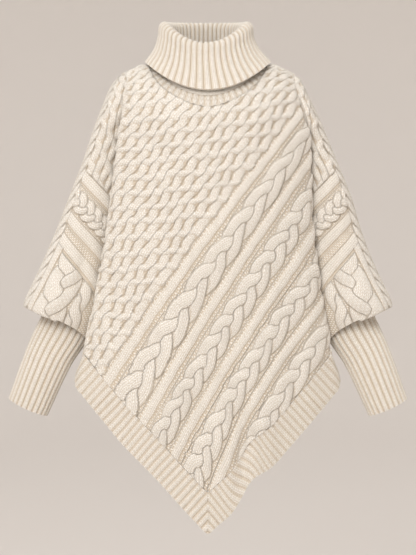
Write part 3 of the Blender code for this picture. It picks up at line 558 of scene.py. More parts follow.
def cuff_ring(side, station, angle, proud=0.0):
    """Points of the cuff; the angle runs from its outer side, and is negative in front."""
    middle = columns_of(*reads(CUFF, "x y level", station))
    half_width, half_depth = reads(CUFF, "half_width half_depth", station)
    wide = (half_width + proud) * np.cos(angle)
    deep = (half_depth + proud) * np.sin(angle)
    point = middle + columns_of(math.cos(CUFF_LEAN) * wide, deep, math.sin(CUFF_LEAN) * wide)
    return point * columns_of(side, 1.0, 1.0)


def sleeve_point(side, around, height):
    """Points of the sleeve, with its end turned up inside to meet the cuff."""
    point = sleeve_wall(side, around, height)
    end = read(SLEEVE_END, "level", np.abs(point[:, 0]))
    low_ones = point[:, 2] < end
    if not low_ones.any():
        return point
    side, around, height = side[low_ones], around[low_ones], height[low_ones]
    share = around / half_length(side, around, height)

    def wall_at(level):
        return sleeve_wall(side, share * half_length(side, around, level), level)

    def under_fold(level):
        spot = wall_at(level)
        return spot[:, 2] < read(SLEEVE_END, "level", np.abs(spot[:, 0]))

    edge = halve(height, height + FOLD_SEARCH, under_fold)
    fold = wall_at(edge)
    down = unit(fold - wall_at(edge + 0.003))
    angle = math.pi * share
    station = np.full(len(share), CUFF_MEET)
    seat = cuff_ring(side, station, angle, CUFF_CLEAR)
    outward = unit(cuff_ring(side, station, angle, 0.02) - seat)
    reach = lengths(seat - fold)[:, None]
    curve = (fold, fold + down * 0.45 * reach, seat + outward * 0.35 * reach, seat)
    below = (end - point[:, 2])[low_ones]
    point[low_ones] = bezier(curve, np.minimum(below / TURN_IN, 1.0))
    return point


def neck_edge(turn):
    """Height of the body's neck edge, where the turtleneck is sewn on."""
    x = NECK_WIDTH * np.sin(TAU * turn)
    y = NECK_MIDDLE - NECK_DEEP * np.cos(TAU * turn)

    def body_at(height):
        return np.where((y < 0)[:, None], front_point(x, height), back_point(x, height))

    edge = halve(np.full(len(x), -0.12), seam_height(x),
                 lambda height: np.abs(body_at(height)[:, 1]) > np.abs(y))
    return body_at(edge)[:, 2]


def collar_point(turn, part):
    """The turned-down tube; turn runs round from the front to the viewer's right."""
    part = np.clip(part, 0.0, 1.0)
    ahead = np.cos(TAU * turn)
    facing = ahead > 0
    width, side = reads(COLLAR, "width side", part)
    deep = np.where(facing, read(COLLAR, "to_front", part), read(COLLAR, "to_back", part))
    end = np.where(facing, read(COLLAR, "front", part), read(COLLAR, "back", part))
    lean = COLLAR_LEAN * np.minimum(1.0, part * 4) * np.minimum(1.0, (1.0 - part) / 0.3)
    height = side + (end - side) * ahead * ahead
    first, front, back = reads(COLLAR, "side front back", 0.0)
    last = np.where(facing, front, back)
    short = neck_edge(turn) - COLLAR_DROP - first - (last - first) * ahead * ahead
    height = height + short * smooth(1 - part / COLLAR_SETTLE)
    return columns_of(lean + width * np.sin(TAU * turn), NECK_MIDDLE - deep * ahead, height)


def cuff_point(side):
    def place(turn, part):
        return cuff_ring(np.full(len(turn), float(side)), part, TAU * turn)
    return place


def wale(repeat, along):
    """Places on the front cloth of stitch lines, at lengths along them from the hem seam."""
    foot, heading, turn = reads(WALE_GUIDES, "foot heading turn_per_metre", repeat)
    heading, turn = np.radians(heading), np.radians(turn)
    hem = math.atan(FRONT_SLOPE)
    side_x = -float(read(SIDES, "left_fold", -0.5))
    side_y = FRONT_TIP + HEM_BAND / math.cos(hem) - FRONT_SLOPE * side_x
    middle = heading - turn * along / 2
    return (side_x + foot * math.cos(hem) + along * np.cos(middle),
            side_y - foot * math.sin(hem) + along * np.sin(middle))


# ---- stitches ----
# Each pattern gives five rows for arrays of places: how far the cloth stands out, how purled it is,
# how deep in a crease it lies, and where it is across and along its own stitches. The purl and crease
# rows also set where the wool paints shade.

def rows_of(*values):
    return np.stack(np.broadcast_arrays(*values)).astype(float)


def tube(aside, half_width, power=0.52):
    """Height from 0 to 1 across a round strand."""
    q = np.clip(np.abs(aside) / half_width, 0, 1)
    return (1 - q * q) ** power


def strands(aside, along, count, period, sway, half_width, lift):
    """Crossing strands: a plait of three, or a rope of two."""
    best, second = np.zeros_like(aside), np.zeros_like(aside)
    across, run = aside.copy(), along.copy()
    rim = np.full_like(aside, 1.0)
    for strand in range(count):
        turn = TAU * (along / period + strand / count)
        slope = sway * TAU / period * np.cos(turn)
        over = -np.sin(2 * turn) if count == 3 else np.cos(turn)
        wide = half_width * np.sqrt(1 + slope ** 2)
        off = aside - sway * np.sin(turn)
        rise = (1 - lift + lift * over) * tube(off, wide)
        top = rise > best
        second = np.where(top, best, np.maximum(second, rise))
        best = np.where(top, rise, best)
        across = np.where(top, off / np.sqrt(1 + slope ** 2) + 0.05 * strand, across)
        run = np.where(top, along + 0.2 * strand, run)
        rim = np.minimum(rim, np.abs(np.abs(off) - wide))
    # Painted shade: where two strands meet, and along a strand's foot, strong on its +aside side, which the
    # light from the upper left leaves in shade, and faint on the other.
    meet = 0.60 * bell(best - second, 0.09) * (second > 0.03)
    rim = bell(rim, LINE_WIDTH) * (best < 0.5) * np.where(aside > 0, 0.9, 0.15)
    return best, np.maximum(meet, rim), across, run


def cable_stitches(repeat, along, knit):
    """Ridge, purl gutter, three-strand cable, purl gutter."""
    whole = np.floor(repeat)
    share = repeat - whole
    period, sway, half_width = reads(PLAITS, "period sway half_width", whole)
    cable = rope_of((share - 0.5) * REPEAT, along + 0.35 * period * whole,
                    (3, period, sway, half_width, 1.0), knit, 0.32)
    from_ridge = np.where(share > 0.5, share - 1, share) * REPEAT
    near_ridge = (share < CABLE_FROM) | (share > CABLE_TO)
    return np.where(near_ridge, ridge_stitches(from_ridge, along, knit), cable)


def ridge_stitches(aside, along, knit):
    """A plain ridge with a sharp crease on its right, painted with shade on that side, away from the light,
    and only faintly on its left.
    """
    half = np.where(aside > 0, 0.90, 1.10) * RIDGE_HALF
    rise = tube(aside, half, 0.45)
    # Painted shade along the ridge's foot: strong on its right, away from the light, faint on its left.
    edge = bell(np.abs(aside) - half, LINE_WIDTH) * np.where(aside > 0, 1.0, 0.12)
    return rows_of(knit.ridge_rise * rise - LINE_DEPTH * edge, rise < BARE, edge, aside, along)


def trellis_stitches(column, off, width, along, lobe_half, knit):
    """Ropes that cross the columns on a slant, and a leaf-like lobe in each cell between them."""
    half = TRELLIS_PERIOD / 2
    phase = (along - column * half) % TRELLIS_PERIOD
    from_rope = (phase + half) % TRELLIS_PERIOD - half
    climb = half / width
    aside_rope = (from_rope - climb * off) / np.sqrt(1 + climb ** 2)
    rope = 1.06 * tube(aside_rope, LATTICE_ROPE)
    up = (phase - half) / half
    lobe_wide = lobe_half * (1 - 0.60 * np.abs(up + 0.15) ** 1.9)
    lobe = (0.96 - 0.50 * np.abs(up + 0.1) ** 1.6) * tube(off + 0.18 * up * half, lobe_wide)
    best, second = np.maximum(rope, lobe), np.minimum(rope, lobe)
    # Painted shade: where rope and lobe meet, mostly below the rope, along the lines between columns, and
    # deepest in the slits between ropes and lobes.
    meet = bell(best - second, 0.12) * (second > 0.2)
    line = bell(np.abs(off) - width / 2, LATTICE_LINE) * np.where(rope > lobe, 0.12, 1.0)
    slit = np.clip(1 - best / 0.40, 0, 1) ** 1.6
    under = np.where(aside_rope < 0, 0.75, 0.15)
    crease = np.clip(under * meet + 0.50 * line + 0.9 * slit, 0, 1)
    rise = knit.trellis_rise * best - 0.0005 * meet - 0.0006 * line
    return rows_of(rise, 0.3 * slit, crease, off, along)


def net_stitches(aside, along, knit):
    """Trellis leftwards from a border at zero."""
    first = aside > -SCALLOP_COLUMN
    column = np.where(first, -1.0, np.floor((aside + SCALLOP_COLUMN) / TRELLIS_COLUMN) - 1)
    width = np.where(first, SCALLOP_COLUMN, TRELLIS_COLUMN)
    left = np.where(first, -SCALLOP_COLUMN, -SCALLOP_COLUMN + (column + 1) * TRELLIS_COLUMN)
    lobe_half = np.where(first, LARGE_LOBE_HALF, LOBE_HALF)
    return trellis_stitches(column, aside - left - width / 2, width, along, lobe_half, knit)


def uneven(across, along):
    """How far hand-worked stitches stray from an even grid."""
    aside = 0.0014 * np.sin(47 * along + 31 * across) + 0.0012 * np.sin(163 * along - 91 * across + 1.3)
    ahead = 0.0024 * np.sin(53 * across - 37 * along + 0.7) + 0.0022 * np.sin(187 * across + 89 * along)
    return aside, ahead


def body_stitches(repeat, along, knit):
    stray, ahead = uneven(repeat * REPEAT, along)
    stray = stray * np.where(repeat * REPEAT < TRELLIS_FROM, 1.0, 0.35)
    repeat, along = repeat + stray / REPEAT, along + ahead
    aside = repeat * REPEAT
    cables = cable_stitches(repeat, along, knit)
    net = net_stitches(np.minimum(aside - TRELLIS_FROM, -1e-5), along, knit)
    return np.where(aside < TRELLIS_FROM, net, cables)


def outside_neck(point):
    """How far points lie outside the neck seam, seen from above."""
    share = np.hypot(point[:, 0] / NECK_WIDTH, (point[:, 1] - NECK_MIDDLE) / NECK_DEEP)
    return (share - 1) * NECK_DEEP


def neck_stitches(point, knit):
    """Ribs that run out from the neck seam; a place's last row is how far outside that seam it is."""
    turn = np.arctan2(point[:, 0], NECK_MIDDLE - point[:, 1]) / TAU
    room = outside_neck(point)
    rise, valley = rib_stitches(turn * COLLAR_RIBS, knit.rib_rise)
    # The valleys between ribs get painted shade.
    return rows_of(rise, valley * 0.4, valley * 0.8, turn * COLLAR_RIBS * REPEAT / 6, room)


def sleeve_stitches(around, height, knit):
    """A rope along the overarm edge, trellis above, and ridges and cables that fall away from it."""
    aside = np.abs(around)
    fall = math.atan(SLEEVE_ROW_SLOPE)
    down = FIRST_SLEEVE_RIDGE - height - SLEEVE_ROW_SLOPE * aside
    across = down * math.cos(fall)
    along = aside / math.cos(fall) + down * math.sin(fall)
    place = aside - SLEEVE_ROPE
    column = np.floor(place / TRELLIS_COLUMN)
    made = trellis_stitches(column, place - (column + 0.5) * TRELLIS_COLUMN, TRELLIS_COLUMN, -height,
                            LOBE_HALF, knit)
    made = np.where(across > 0, rope_of(across - SMALL_PLAIT_AT, along, SMALL_PLAIT, knit), made)
    # A purled band, which the wool paints with the gutter's shade.
    made = np.where(across > SLEEVE_RIDGES[1], rows_of(0, 1, 0, across, along), made)
    large = rope_of(aside - LARGE_PLAIT_AT, -height, LARGE_PLAIT, knit)
    far = rope_of(aside - FAR_ROPE_AT, -height, FAR_ROPE, knit)
    made = np.where(across > SLEEVE_RIDGES[2], np.where(aside < FAR_FROM, large, far), made)
    for line in SLEEVE_RIDGES:
        near = np.abs(across - line) < RIDGE_HALF * 1.3
        made = np.where(near, ridge_stitches(across - line, along, knit), made)
    band = ridge_stitches(aside - (SLEEVE_ROPE + SLEEVE_BAND) / 2, -height, knit)
    made = np.where((across > BAND_FROM) & (aside < SLEEVE_BAND), band, made)
    made = np.where(aside < SLEEVE_ROPE, rope_of(aside - EDGE_ROPE_AT, height, EDGE_ROPE, knit), made)
    return np.where(aside < RIDGE_HALF, ridge_stitches(aside, height, knit), made)


def rope_of(aside, along, rope, knit, lift=0.34):
    """A rope or plait as stitches on purled ground."""
    *form, height = rope
    best, crease, across, run = strands(aside, along, *form, lift)
    # The purled ground between strands and the creases at their feet and crossings get painted shade.
    return rows_of(height * knit.cable_rise * best - LINE_DEPTH * crease, best < BARE, crease, across, run)


def rib_stitches(ribs, rise):
    """Round ribs with narrow valleys; ribs counts them across."""
    off = ribs - np.round(ribs)
    crest = np.maximum(np.cos(math.pi * off), 0) ** 0.75
    valley = bell(np.abs(off) - 0.5, 0.19)
    return crest * rise, valley


# ---- flat knitting ----

def knit_grid(columns, rows, lay):
    """A flat grid; lay(share across, share along) gives places on the cloth and stitch coordinates."""
    bm = bmesh.new()
    bmesh.ops.create_grid(bm, x_segments=columns, y_segments=rows, size=0.5)
    layers = [bm.verts.layers.float.new(name) for name in ("across", "along", "inner")]
    verts = list(bm.verts)
    places = np.array([vert.co for vert in verts]) + 0.5
    x, y, across, along = lay(places[:, 0], places[:, 1])
    for vert, *spot in zip(verts, x, y, across, along):
        vert.co = (spot[0], spot[1], 0)
        vert[layers[0]], vert[layers[1]] = spot[2], spot[3]
    return bm


def trim(bm, *keeps):
    """Cut the flat cloth where each keep(x, y) in turn is zero, and drop what is below zero."""
    for keep in keeps:
        cut(bm, keep)


def cut(bm, keep):
    verts = list(bm.verts)
    place = np.array([vert.co for vert in verts])
    inside = np.array([not vert.is_boundary for vert in verts])
    x, y = place[:, 0], place[:, 1]
    value = keep(x, y)
    slope = columns_of(keep(x + STEP, y) - value, keep(x, y + STEP) - value) / STEP
    steep = (slope ** 2).sum(axis=1)
    near = inside & (np.abs(value) < SNAP * np.sqrt(steep)) & (steep > 0.04)
    place[near, :2] -= slope[near] * (value[near] / steep[near])[:, None]
    place[:, 2] = np.where(near, 0.0, value)
    for vert, spot in zip(verts, place):
        vert.co = spot
    bmesh.ops.bisect_plane(bm, geom=bm.verts[:] + bm.edges[:] + bm.faces[:], dist=2e-5,
                           plane_co=(0, 0, 0), plane_no=(0, 0, 1), clear_inner=True)
    for vert in bm.verts:
        vert.co.z = 0


def give_wall(bm):
    """Double the cloth into a closed wall, and refine it, its outer face twice."""
    inner = bm.verts.layers.float["inner"]
    odd = [face for face in bm.faces if len(face.verts) != 4]
    bmesh.ops.triangulate(bm, faces=odd, quad_method="BEAUTY", ngon_method="BEAUTY")
    made = bmesh.ops.extrude_face_region(bm, geom=bm.faces[:], use_keep_orig=True)["geom"]
    for item in made:
        if isinstance(item, bmesh.types.BMVert):
            item[inner] = 1.0
    both = [edge for edge in bm.edges if edge.verts[0][inner] == edge.verts[1][inner]]
    bmesh.ops.subdivide_edges(bm, edges=both, cuts=1, use_grid_fill=True)
    outer = [edge for edge in bm.edges if not any(vert[inner] > 0.5 for vert in edge.verts)]
    bmesh.ops.subdivide_edges(bm, edges=outer, cuts=1, use_grid_fill=True)


def read_floats(mesh, name):
    values = np.empty(len(mesh.vertices))
    mesh.attributes[name].data.foreach_get("value", values)
    return values


def add_object(name, data):
    made = bpy.data.objects.new(name, data)
    bpy.context.scene.collection.objects.link(made)
    return made


def drape(name, bm, place, stitches, knit, flip=1, step=STEP, calm=None, settle=None):
    """Lay the flat wall on its form, with its stitches raised, as a finished piece."""
    mesh = bpy.data.meshes.new(name)
    bm.to_mesh(mesh)
    bm.free()
    flat = np.empty(len(mesh.vertices) * 3)
    mesh.vertices.foreach_get("co", flat)
    x, y = flat.reshape(-1, 3)[:, 0], flat.reshape(-1, 3)[:, 1]
    inner = read_floats(mesh, "inner") > 0.5
    knitted = stitches(x, y, read_floats(mesh, "across"), read_floats(mesh, "along"))
    rise = knitted[0] if calm is None else knitted[0] * calm(x, y)
    around = place(x + step, y) - place(x - step, y)
    upward = place(x, y + step) - place(x, y - step)
    normal = unit(np.cross(around, upward)) * flip
    rise = np.where(inner, -knit.wall, rise)
    if settle is not None:
        rise = rise + settle(x, y)
    points = place(x, y) + normal * rise[:, None]
    mesh.vertices.foreach_set("co", points.astype(np.float32).ravel())
    for label in ("across", "along", "inner"):
        mesh.attributes.remove(mesh.attributes[label])
    rework(mesh, face_outward)
    mesh.shade_smooth()
    mesh.set_sharp_from_angle(angle=math.radians(75))
    mark_stitches(mesh, knitted, inner)
    return add_object(name, mesh)


def rework(mesh, work):
    """Do bmesh work on a finished mesh."""
    bm = bmesh.new()
    bm.from_mesh(mesh)
    work(bm)
    bm.to_mesh(mesh)
    bm.free()


def face_outward(bm):
    bmesh.ops.recalc_face_normals(bm, faces=bm.faces[:])
    if bm.calc_volume(signed=True) < 0:
        bmesh.ops.reverse_faces(bm, faces=bm.faces[:])


def close_seam(bm):
    """Join a tube's first and last column, which lie on each other."""
    bmesh.ops.remove_doubles(bm, verts=bm.verts[:], dist=1e-6)


def mark_stitches(mesh, knitted, inner):
    """Keep each point's stitch coordinates as a UV map, and its purl and crease as attributes, the masks by
    which the wool paints shade.
    """
    corners = np.empty(len(mesh.loops), dtype=np.int32)
    mesh.loops.foreach_get("vertex_index", corners)
    spots = knitted[3:].T[corners]
    mesh.uv_layers.new(name="stitches").data.foreach_set("uv", spots.astype(np.float32).ravel())
    for label, values in zip(("purl", "crease"), knitted[1:3]):
        layer = mesh.attributes.new(name=label, type="FLOAT", domain="POINT")
        layer.data.foreach_set("value", np.where(inner, 0.0, values).astype(np.float32))


# ---- wool ----

LEG_SLANT = 0.9             # how far the legs of a stitch lean, in rows
PEARL_ROWS = 1.4            # purl bumps for each row of stitches
FUZZ_SCALE, FLECK_SCALE, PATCH_SCALE = 900.0, 230.0, 14.0


class Graph:
    """Short words for making a material's nodes."""

    def __init__(self, name):
        self.material = bpy.data.materials.new(name)
        self.material.use_nodes = True
        self.nodes = self.material.node_tree.nodes
        self.links = self.material.node_tree.links
        self.surface = self.nodes["Principled BSDF"]

    def node(self, kind, **settings):
        made = self.nodes.new(kind)
        for name, value in settings.items():
            setattr(made, name, value)
        return made

    def feed(self, socket, value):
        if isinstance(value, bpy.types.NodeSocket):
            self.links.new(value, socket)
        else:
            socket.default_value = value

    def math(self, operation, *values):
        made = self.node("ShaderNodeMath", operation=operation)
        for socket, value in zip(made.inputs, values):
            self.feed(socket, value)
        return made.outputs[0]

    def mix(self, share, first, second, kind="RGBA"):
        """A share of the second, as a colour or a number."""
        made = self.node("ShaderNodeMix", data_type=kind)
        places, result = {"RGBA": ((0, 6, 7), 2), "FLOAT": ((0, 2, 3), 0)}[kind]
        for place, value in zip(places, (share, first, second)):
            self.feed(made.inputs[place], value)
        return made.outputs[result]

    def attribute(self, name):
        return self.node("ShaderNodeAttribute", attribute_name=name).outputs["Fac"]

    def noise(self, scale, detail=2.0):
        coordinates = self.node("ShaderNodeTexCoord").outputs["Object"]
        made = self.node("ShaderNodeTexNoise")
        made.inputs["Scale"].default_value = scale
        made.inputs["Detail"].default_value = detail
        self.links.new(coordinates, made.inputs["Vector"])
        return made.outputs["Fac"]


def wool(name, look, knit):
    """Matte wool with knit stitches, purl bumps in the gutters, painted shade in the gutters, in creases
    and between stitches, and a soft fuzz.
    """
    graph = Graph(name)
    add, subtract, multiply, divide, power = (
        partial(graph.math, word) for word in ("ADD", "SUBTRACT", "MULTIPLY", "DIVIDE", "POWER"))

    def humps(value):
        """0 at each whole number and 1 half way between."""
        return graph.math("ABSOLUTE", graph.math("SINE", multiply(value, math.pi)))

    stitches = graph.node("ShaderNodeSeparateXYZ")
    graph.links.new(graph.node("ShaderNodeUVMap", uv_map="stitches").outputs[0], stitches.inputs[0])
    across = divide(stitches.outputs[0], knit.stitch_width)
    along = divide(stitches.outputs[1], knit.stitch_height)

    leg = multiply(graph.math("ABSOLUTE", subtract(graph.math("FRACT", across), 0.5)), 2.0)
    thread = humps(subtract(along, multiply(leg, LEG_SLANT)))
    bulge = graph.math("SINE", multiply(leg, math.pi))
    plain = multiply(power(thread, 0.9), power(bulge, 0.8))

    pearls = multiply(along, PEARL_ROWS)
    pearl = multiply(humps(add(across, multiply(graph.math("FLOOR", pearls), 0.5))), humps(pearls))

    purl, crease = graph.attribute("purl"), graph.attribute("crease")
    height = graph.mix(purl, plain, pearl, "FLOAT")
    bump = graph.node("ShaderNodeBump")
    bump.inputs["Strength"].default_value = look.stitch_strength
    bump.inputs["Distance"].default_value = look.stitch_depth
    graph.links.new(add(height, multiply(graph.noise(FUZZ_SCALE, 3.0), look.fuzz)), bump.inputs["Height"])
    graph.links.new(bump.outputs[0], graph.surface.inputs["Normal"])

    fleck = multiply(subtract(graph.noise(FLECK_SCALE, 1.0), 0.30), 3.0)
    tone = add(multiply(graph.noise(PATCH_SCALE, 4.0), 0.3), multiply(fleck, 0.7))
    cream = graph.mix(tone, (*look.cream, 1), (*look.cream_light, 1))
    # Painted shade: the purled ground in the gutters is tinted tan, standing in for the shade in these
    # recesses.
    gutter_shaded = graph.mix(multiply(purl, look.gutter_shade_strength), cream, (*look.gutter_shade, 1))
    # Painted shade: creases and the gaps between stitches, where the stitch height is low and more so in
    # purled ground, are darkened towards a warm shade colour.
    crease_shaded = graph.mix(multiply(crease, look.crease_shade_strength), gutter_shaded, (*look.crevice_shade, 1))
    stitch_shade_share = multiply(add(multiply(purl, 0.5), 1.0), look.stitch_shade_strength)
    base = graph.mix(multiply(subtract(1.0, height), stitch_shade_share), crease_shaded, (*look.crevice_shade, 1))
    graph.links.new(base, graph.surface.inputs["Base Color"])
    for socket, value in (("Roughness", look.roughness), ("Specular IOR Level", 0.15),
                          ("Sheen Weight", look.sheen), ("Sheen Roughness", 0.55),
                          ("Sheen Tint", (1.0, 0.96, 0.88, 1))):
        graph.surface.inputs[socket].default_value = value
    return graph.material


# ---- properties ----

Length = partial(FloatProperty, unit="LENGTH")
Share = partial(FloatProperty, subtype="FACTOR")
Colour = partial(FloatVectorProperty, subtype="COLOR", min=0, max=1)


class KnitSizes(bpy.types.PropertyGroup):
    """Sizes of the cloth and of its relief."""
    wall: Length(name="Wall", description="Thickness of plain knit", default=0.003)
    cable_rise: Length(name="Cable rise", description="How far the cables stand out", default=0.0047)
    ridge_rise: Length(name="Ridge rise", description="How far the ridges stand out", default=0.0029)
    trellis_rise: Length(name="Trellis rise", description="How far the trellis stands out", default=0.0038)
    rib_rise: Length(name="Rib rise", description="How far the ribs stand out", default=0.003)
    stitch_width: Length(name="Stitch width", description="Width of one knit stitch", default=0.0067)
    stitch_height: Length(name="Stitch height", description="Height of one knit stitch", default=0.0054)


class WoolLook(bpy.types.PropertyGroup):
    """Colours and finish of the wool, and the colours and strengths of the shade painted in its gutters,
    creases and between stitches.
    """
    cream: Colour(name="Cream", description="Wool where it lies open", default=(0.84, 0.82, 0.78))
    cream_light: Colour(name="Light cream", description="Lighter patches", default=(0.98, 0.965, 0.93))
    # Painted shade colours: this one for the recessed purled ground, the next for creases, slits and gaps
    # between stitches.
    gutter_shade: Colour(name="Sand", description="Wool in the purl gutters", default=(0.83, 0.785, 0.71))
    crevice_shade: Colour(name="Crevice", description="Wool deep between strands", default=(0.53, 0.42, 0.29))
    # How much of the painted shade the purled ground, the creases and the gaps between stitches each get.
    gutter_shade_strength: Share(name="Purl tint", description="Share of sand in the gutters", default=0.25)
    crease_shade_strength: Share(name="Crease tint", description="Share of crevice in a crease", default=0.6)
    stitch_shade_strength: Share(name="Stitch tint", description="Share of crevice between stitches", default=0.56)
    fuzz: Share(name="Fuzz", description="Height of the fuzz against a stitch", default=0.55)
    stitch_strength: Share(name="Stitch strength", description="How clearly stitches show", default=0.95)
    stitch_depth: Length(name="Stitch depth", description="Depth between stitches", default=0.0009)
    roughness: Share(name="Roughness", description="Roughness of the wool", default=0.92)
    sheen: Share(name="Sheen", description="Soft edge light of the fibres", default=0.2)


class StudioLook(bpy.types.PropertyGroup):
    """Backdrop and light."""
    backdrop: Colour(name="Backdrop", description="Floor and backdrop", default=(0.73, 0.69, 0.655))
    sky: Colour(name="Fill colour", description="Light from all round", default=(1.0, 0.985, 0.97))
    sky_strength: FloatProperty(name="Fill", description="Strength of the light all round", default=1.16)
    key_power: FloatProperty(name="Key power", description="Power of the large soft light",
                             default=200.0, unit="POWER")
    key_size: Length(name="Key size", description="Width of the large soft light", default=3.0)


# ---- pieces ----

def wool_for(context, name):
    """The wool of a kind of knitting, made once."""
    scene = context.scene
    return bpy.data.materials.get(name) or wool(name, scene.wool_look, scene.knit_sizes)


def dress(piece, material):
    """Give a piece its wool, and tie it to the frame."""
    piece.data.materials.append(material)
    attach(piece, "root")
    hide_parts(piece.name.removeprefix("knit_"))


def hem_height(x, y, tip, slope):
    """Distance above the hem's lower edge, square to it."""
    return (y - tip - slope * np.abs(x)) * math.cos(math.atan(slope))


def band_clear(x):
    return BAND_CLEAR + np.clip((np.abs(x) - FOLD_START) / 0.01, 0, 1) * BAND_CLEAR_ROUND


def front_side_room(x, height):
    """Cloth left between a place on the front and its side seam."""
    curl = front_curl(np.where(x < 0, -1.0, 1.0), level_of(height))
    return curl[0][:, 0] + curl_length(curl) - np.abs(x)


def back_side_room(x, height):
    level = level_of(height)
    spared = np.maximum(read(SEAMS, "ease", level) - BACK_EASE, 0)
    return read(SEAMS, "seam_x", level) + spared - np.abs(x)


def neck_room(place, wall):
    """How far places on the cloth, and the inner face under them, lie outside the neck seam."""

    def keep(x, y):
        point = place(x, y)
        normal = unit(np.cross(place(x + STEP, y) - point, place(x, y + STEP) - point))
        inner = point - normal * side_of(normal[:, 2])[:, None] * wall
        return np.minimum(outside_neck(point), outside_neck(inner))
    return keep


# A panel: its form, the hem's tip and slope, cloth left to its side seam, and 1 or -1 if mirrored.
FRONT = (front_point, FRONT_TIP, FRONT_SLOPE, front_side_room, 1)
BACK = (back_point, BACK_TIP, BACK_SLOPE, back_side_room, -1)


def body_panel(context, name, panel):
    """Front or back: knitted on the bias, trimmed to shoulders, neck, sides and hem seam."""
    knit = context.scene.knit_sizes
    place, tip, slope, side_room, mirror = panel

    def lay(across, along):
        repeat = WALES_FROM + (WALES_TO - WALES_FROM) * across
        up = ROWS_FROM + (ROWS_TO - ROWS_FROM) * along
        x, y = wale(repeat, up)
        return mirror * x, y, repeat, up

    bm = knit_grid(round((WALES_TO - WALES_FROM) * REPEAT / GRAIN), round((ROWS_TO - ROWS_FROM) / GRAIN),
                   lay)
    trim(bm, lambda x, y: hem_height(x, y, tip, slope) - HEM_BAND - band_clear(x),
         lambda x, y: seam_height(x) - y,
         lambda x, y: side_room(x, y) - read(SEAMS, "ease", level_of(y)),
         neck_room(place, knit.wall))
    give_wall(bm)

    def stitches(x, y, repeat, up):
        ribs = neck_stitches(place(x, y), knit)
        return np.where(ribs[-1] < NECK_RIBBING, ribs, body_stitches(repeat, up, knit))

    return drape(name, bm, place, stitches, knit, flip=mirror,
                 calm=lambda x, y: np.clip(side_room(x, y) / CALM_EDGE, LEAST_RISE, 1))


def hem_band(context, name, side, panel):
    """A ribbed band along one arm of the hem's V, mitred at the tip."""
    knit = context.scene.knit_sizes
    place, tip, slope, side_room, flip = panel
    hem = math.atan(slope)

    def lay(across, along):
        u = across * BAND_LENGTH - BAND_SPARE
        w = along * (HEM_BAND + 2 * BAND_MARGIN) - BAND_MARGIN
        u_lean = u + w * math.tan(HEM_RIB_LEAN)
        x = u_lean * math.cos(hem) - w * math.sin(hem)
        y = tip + u_lean * math.sin(hem) + w * math.cos(hem)
        return side * x, y, u, w

    def stitches(x, y, u, w):
        rise, valley = rib_stitches(u / HEM_RIB, knit.rib_rise)
        # The valleys between ribs get painted shade.
        return rows_of(rise, valley * 0.5, valley * 0.8, u, w)

    bm = knit_grid(round(BAND_LENGTH / (HEM_RIB / 2)), 7, lay)
    trim(bm, lambda x, y: hem_height(x, y, tip, slope),
         lambda x, y: HEM_BAND - hem_height(x, y, tip, slope),
         lambda x, y: side * x - SEAM_GAP / 2,
         lambda x, y: side_room(x, y) - SEAM_GAP)
    give_wall(bm)
    return drape(name, bm, place, stitches, knit, flip=flip,
                 calm=lambda x, y: np.clip(side_room(x, y) / BAND_CALM_EDGE, LEAST_RISE, 1))


def sleeve(context, name, side):
    """One sleeve, trimmed to its seams, with its end turned up inside to the cuff."""
    knit = context.scene.knit_sizes
    half_columns = round(SLEEVE_WIDEST / GRAIN)

    def sides(x):
        return np.full(len(x), float(side))

    def lay(across, along):
        around = (across * 2 - 1) * half_columns * GRAIN
        down = along * (SLEEVE_HIGHEST - SLEEVE_LOWEST)
        height = SLEEVE_HIGHEST + ROWS_ABOVE - down - SLEEVE_ROW_SLOPE * np.abs(around)
        return around, height, around, height

    def seam_room(x, y):
        """Cloth left before the seam, less what its ease and a tight first turn take."""
        bend, ease = reads(SEAMS, "bend sleeve_ease", level_of(y))
        tight = np.where(x < 0, smooth((NARROW_BEND - bend) / 0.001), 0.0)
        ease = np.where(x > 0, np.maximum(ease, SEAM_GAP), ease)
        return half_length(sides(x), x, y) - np.abs(x) - ease - math.pi * bend * tight

    def fold_room(x, y):
        """Height above the blouse fold; below zero the cloth turns up inside."""
        point = sleeve_wall(sides(x), x, y)
        return point[:, 2] - read(SLEEVE_END, "level", np.abs(point[:, 0]))

    def end_room(x, y):
        share = np.abs(x) / half_length(sides(x), x, y)
        return fold_room(x, y) + TURN_IN * smooth((TURN_IN_TO - share) / TURN_IN_FADE)

    def calm(x, y):
        return np.clip(np.minimum(seam_room(x, y) / SLEEVE_CALM_EDGE, fold_room(x, y) / SLEEVE_CALM_FOLD / 2
                                  + 0.5), SLEEVE_LEAST_RISE, 1)

    def settle(x, y):
        return folds(SLEEVE_FOLDS, x, y) * smooth(np.minimum(seam_room(x, y), fold_room(x, y))
                                                  / SETTLE_EDGE)

    bm = knit_grid(2 * half_columns, round((SLEEVE_HIGHEST - SLEEVE_LOWEST) / GRAIN), lay)
    trim(bm, lambda x, y: seam_height(SHOULDER_POINT) - SLEEVE_TOP - y,
         lambda x, y: y - SLEEVE_LOWEST, seam_room, end_room)
    give_wall(bm)
    return drape(name, bm, lambda x, y: sleeve_point(sides(x), x, y),
                 lambda x, y, around, height: sleeve_stitches(around, height, knit), knit, flip=side,
                 calm=calm, settle=settle)


def ribbed_tube(context, name, place, ribs, rows, length, flip):
    """A closed tube of ribs; place(turn, part) gives its form, turn and part running from 0 to 1."""
    knit = context.scene.knit_sizes
    bm = knit_grid(2 * ribs, rows, lambda across, along: (across, along, across, along))

    def stitches(x, y, turn, part):
        rise, valley = rib_stitches(x * ribs, knit.rib_rise)
        # The valleys between ribs get painted shade.
        return rows_of(rise, valley * 0.5, valley, x * ribs * 2 * knit.stitch_width, y * length)

    give_wall(bm)
    piece = drape(name, bm, place, stitches, knit, flip=flip, step=TURN_STEP)
    rework(piece.data, close_seam)
    return piece


